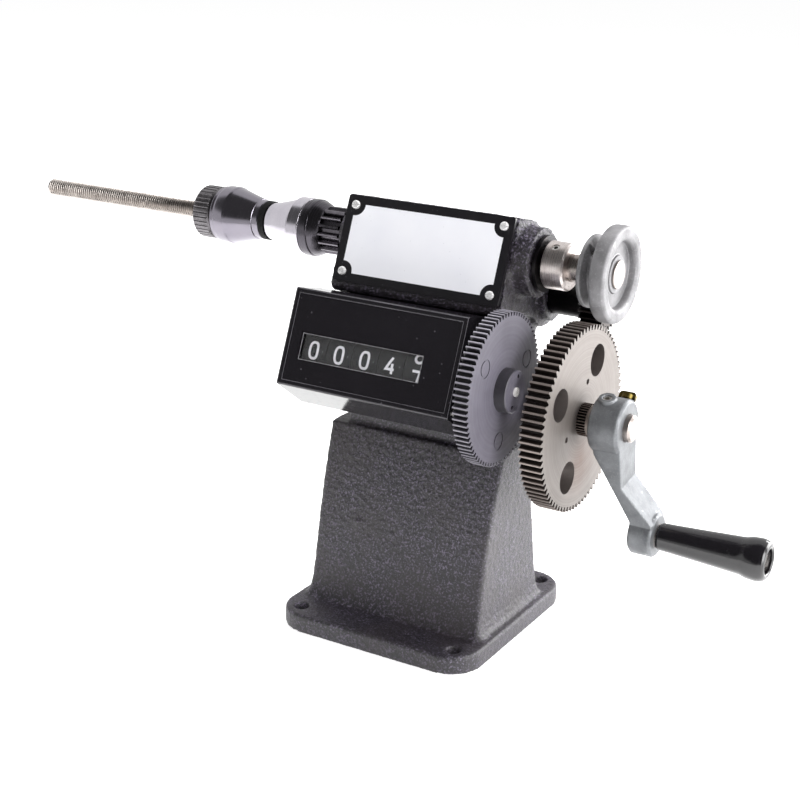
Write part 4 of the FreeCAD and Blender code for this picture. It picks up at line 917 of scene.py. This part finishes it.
studio = {"lens": 72.8, "sensor": 36.0, "place": (339.0, -604.0, 341.2), "azimuth": 30.38,
          "elevation": 18.90, "roll": 1.17, "near": 20.0, "far": 20000.0,
          "floorSide": 2400.0, "floorFront": -430.0, "floorBack": 4000.0, "floorDrop": 0.4,
          "paper": 0.86, "floorGlow": 0.72, "surround": 0.3, "darkSide": (0.15, -0.6, 0.78),
          "darkFrom": 0.49, "darkFull": 0.62, "darkLevel": 0.1}
lamps = {
    "right": {"place": (900, -60, 330), "aim": (40, 0, 110), "size": (520, 620), "power": 8.5,
              "mirrored": True},
    "back right": {"place": (620, 900, 330), "aim": (40, 0, 80), "size": (900, 600), "power": 15.0,
                   "mirrored": True},
    "top": {"place": (-60, 220, 1050), "aim": (0, 0, 120), "size": (700, 500), "power": 15.0,
            "mirrored": False},
    "front": {"place": (500, -800, 620), "aim": (0, 0, 100), "size": (600, 600), "power": 4.6,
              "mirrored": False},
}


def placeCamera(look):
    data = bpy.data.cameras.new("camera")
    data.sensor_width = look["sensor"]
    data.lens = look["lens"]
    data.clip_start = look["near"] * mm
    data.clip_end = look["far"] * mm
    camera = bpy.data.objects.new("camera", data)
    bpy.context.scene.collection.objects.link(camera)
    turn, tilt, roll = (math.radians(look[k]) for k in ("azimuth", "elevation", "roll"))
    level = Vector((-math.sin(turn), math.cos(turn), 0.0))
    forward = level * math.cos(tilt) - Vector((0.0, 0.0, math.sin(tilt)))
    right = Vector((math.cos(turn), math.sin(turn), 0.0))
    up = right.cross(forward)
    across = math.cos(roll) * right + math.sin(roll) * up
    above = -math.sin(roll) * right + math.cos(roll) * up
    stand = Matrix((across, above, -forward)).transposed().to_4x4()
    stand.translation = Vector(look["place"]) * mm
    camera.matrix_world = stand
    bpy.context.scene.camera = camera


def softbox(name, look):
    data = bpy.data.lights.new(name, "AREA")
    data.shape = "RECTANGLE"
    data.size = look["size"][0] * mm
    data.size_y = look["size"][1] * mm
    data.energy = look["power"]
    lamp = bpy.data.objects.new(name, data)
    bpy.context.scene.collection.objects.link(lamp)
    lamp.location = Vector(look["place"]) * mm
    aim = (Vector(look["aim"]) - Vector(look["place"])).normalized()
    lamp.rotation_mode = "QUATERNION"
    lamp.rotation_quaternion = aim.to_track_quat("-Z", "Y")
    lamp.visible_glossy = look["mirrored"]


def surroundings(look):
    world = bpy.data.worlds.new("studio")
    bpy.context.scene.world = world
    world.use_nodes = True
    tree = world.node_tree
    tree.nodes.clear()
    rays = addNode(tree, "LightPath")
    direction = addNode(tree, "TexCoord").outputs["Generated"]
    # reflections see a white room with one dark side, in front and above, beyond the camera
    towardsDark = addNode(tree, "VectorMath", {"operation": "DOT_PRODUCT"}, {
        0: direction, 1: look["darkSide"]})
    mirrored = addNode(tree, "MapRange", {"interpolation_type": "SMOOTHSTEP"}, {
        "Value": towardsDark.outputs["Value"], "From Min": look["darkFrom"], "From Max": look["darkFull"],
        "To Min": 1.0, "To Max": look["darkLevel"]})
    seen = addNode(tree, "Math", {"operation": "MAXIMUM"}, {
        0: rays.outputs["Is Camera Ray"], 1: rays.outputs["Is Transmission Ray"]})
    glossy = addNode(tree, "Mix", {"data_type": "FLOAT"}, {
        mixShare: rays.outputs["Is Glossy Ray"], underNumber: look["surround"],
        overNumber: mirrored.outputs["Result"]})
    strength = addNode(tree, "Mix", {"data_type": "FLOAT"}, {
        mixShare: seen.outputs["Value"], underNumber: glossy.outputs[mixedNumber], overNumber: 1.0})
    background = addNode(tree, "Background", {}, {
        "Color": grey(1.0), "Strength": strength.outputs[mixedNumber]})
    output = addNode(tree, "OutputWorld")
    tree.links.new(background.outputs["Background"], output.inputs["Surface"])


def whiteFloor(look):
    mesh = bpy.data.meshes.new("floor")
    side, front, back, level = (look[k] * mm for k in ("floorSide", "floorFront", "floorBack", "floorDrop"))
    corners = [(-side, front, -level), (side, front, -level), (side, back, -level), (-side, back, -level)]
    mesh.from_pydata(corners, [], [(0, 1, 2, 3)])
    floor = bpy.data.objects.new("floor", mesh)
    bpy.context.scene.collection.objects.link(floor)
    material = bpy.data.materials.new("matt white studio paper")
    material.use_nodes = True
    tree = material.node_tree
    tree.nodes.clear()
    rays = addNode(tree, "LightPath")
    paper = addNode(tree, "BsdfDiffuse", {}, {"Color": grey(look["paper"])})
    glow = addNode(tree, "Emission", {}, {
        "Color": grey(1.0), "Strength": look["floorGlow"]})
    both = addNode(tree, "AddShader", {}, {0: paper.outputs[0], 1: glow.outputs[0]})
    shown = addNode(tree, "Math", {"operation": "MAXIMUM"}, {
        0: rays.outputs["Is Camera Ray"], 1: rays.outputs["Is Glossy Ray"]})
    surface = addNode(tree, "MixShader", {}, {
        0: shown.outputs["Value"], 1: paper.outputs[0], 2: both.outputs[0]})
    output = addNode(tree, "OutputMaterial")
    tree.links.new(surface.outputs[0], output.inputs["Surface"])
    floor.data.materials.append(material)


placeCamera(studio)
surroundings(studio)
whiteFloor(studio)
for name, look in lamps.items():
    softbox(name, look)
bpy.context.scene.view_settings.view_transform = "Standard"
print("studio set")
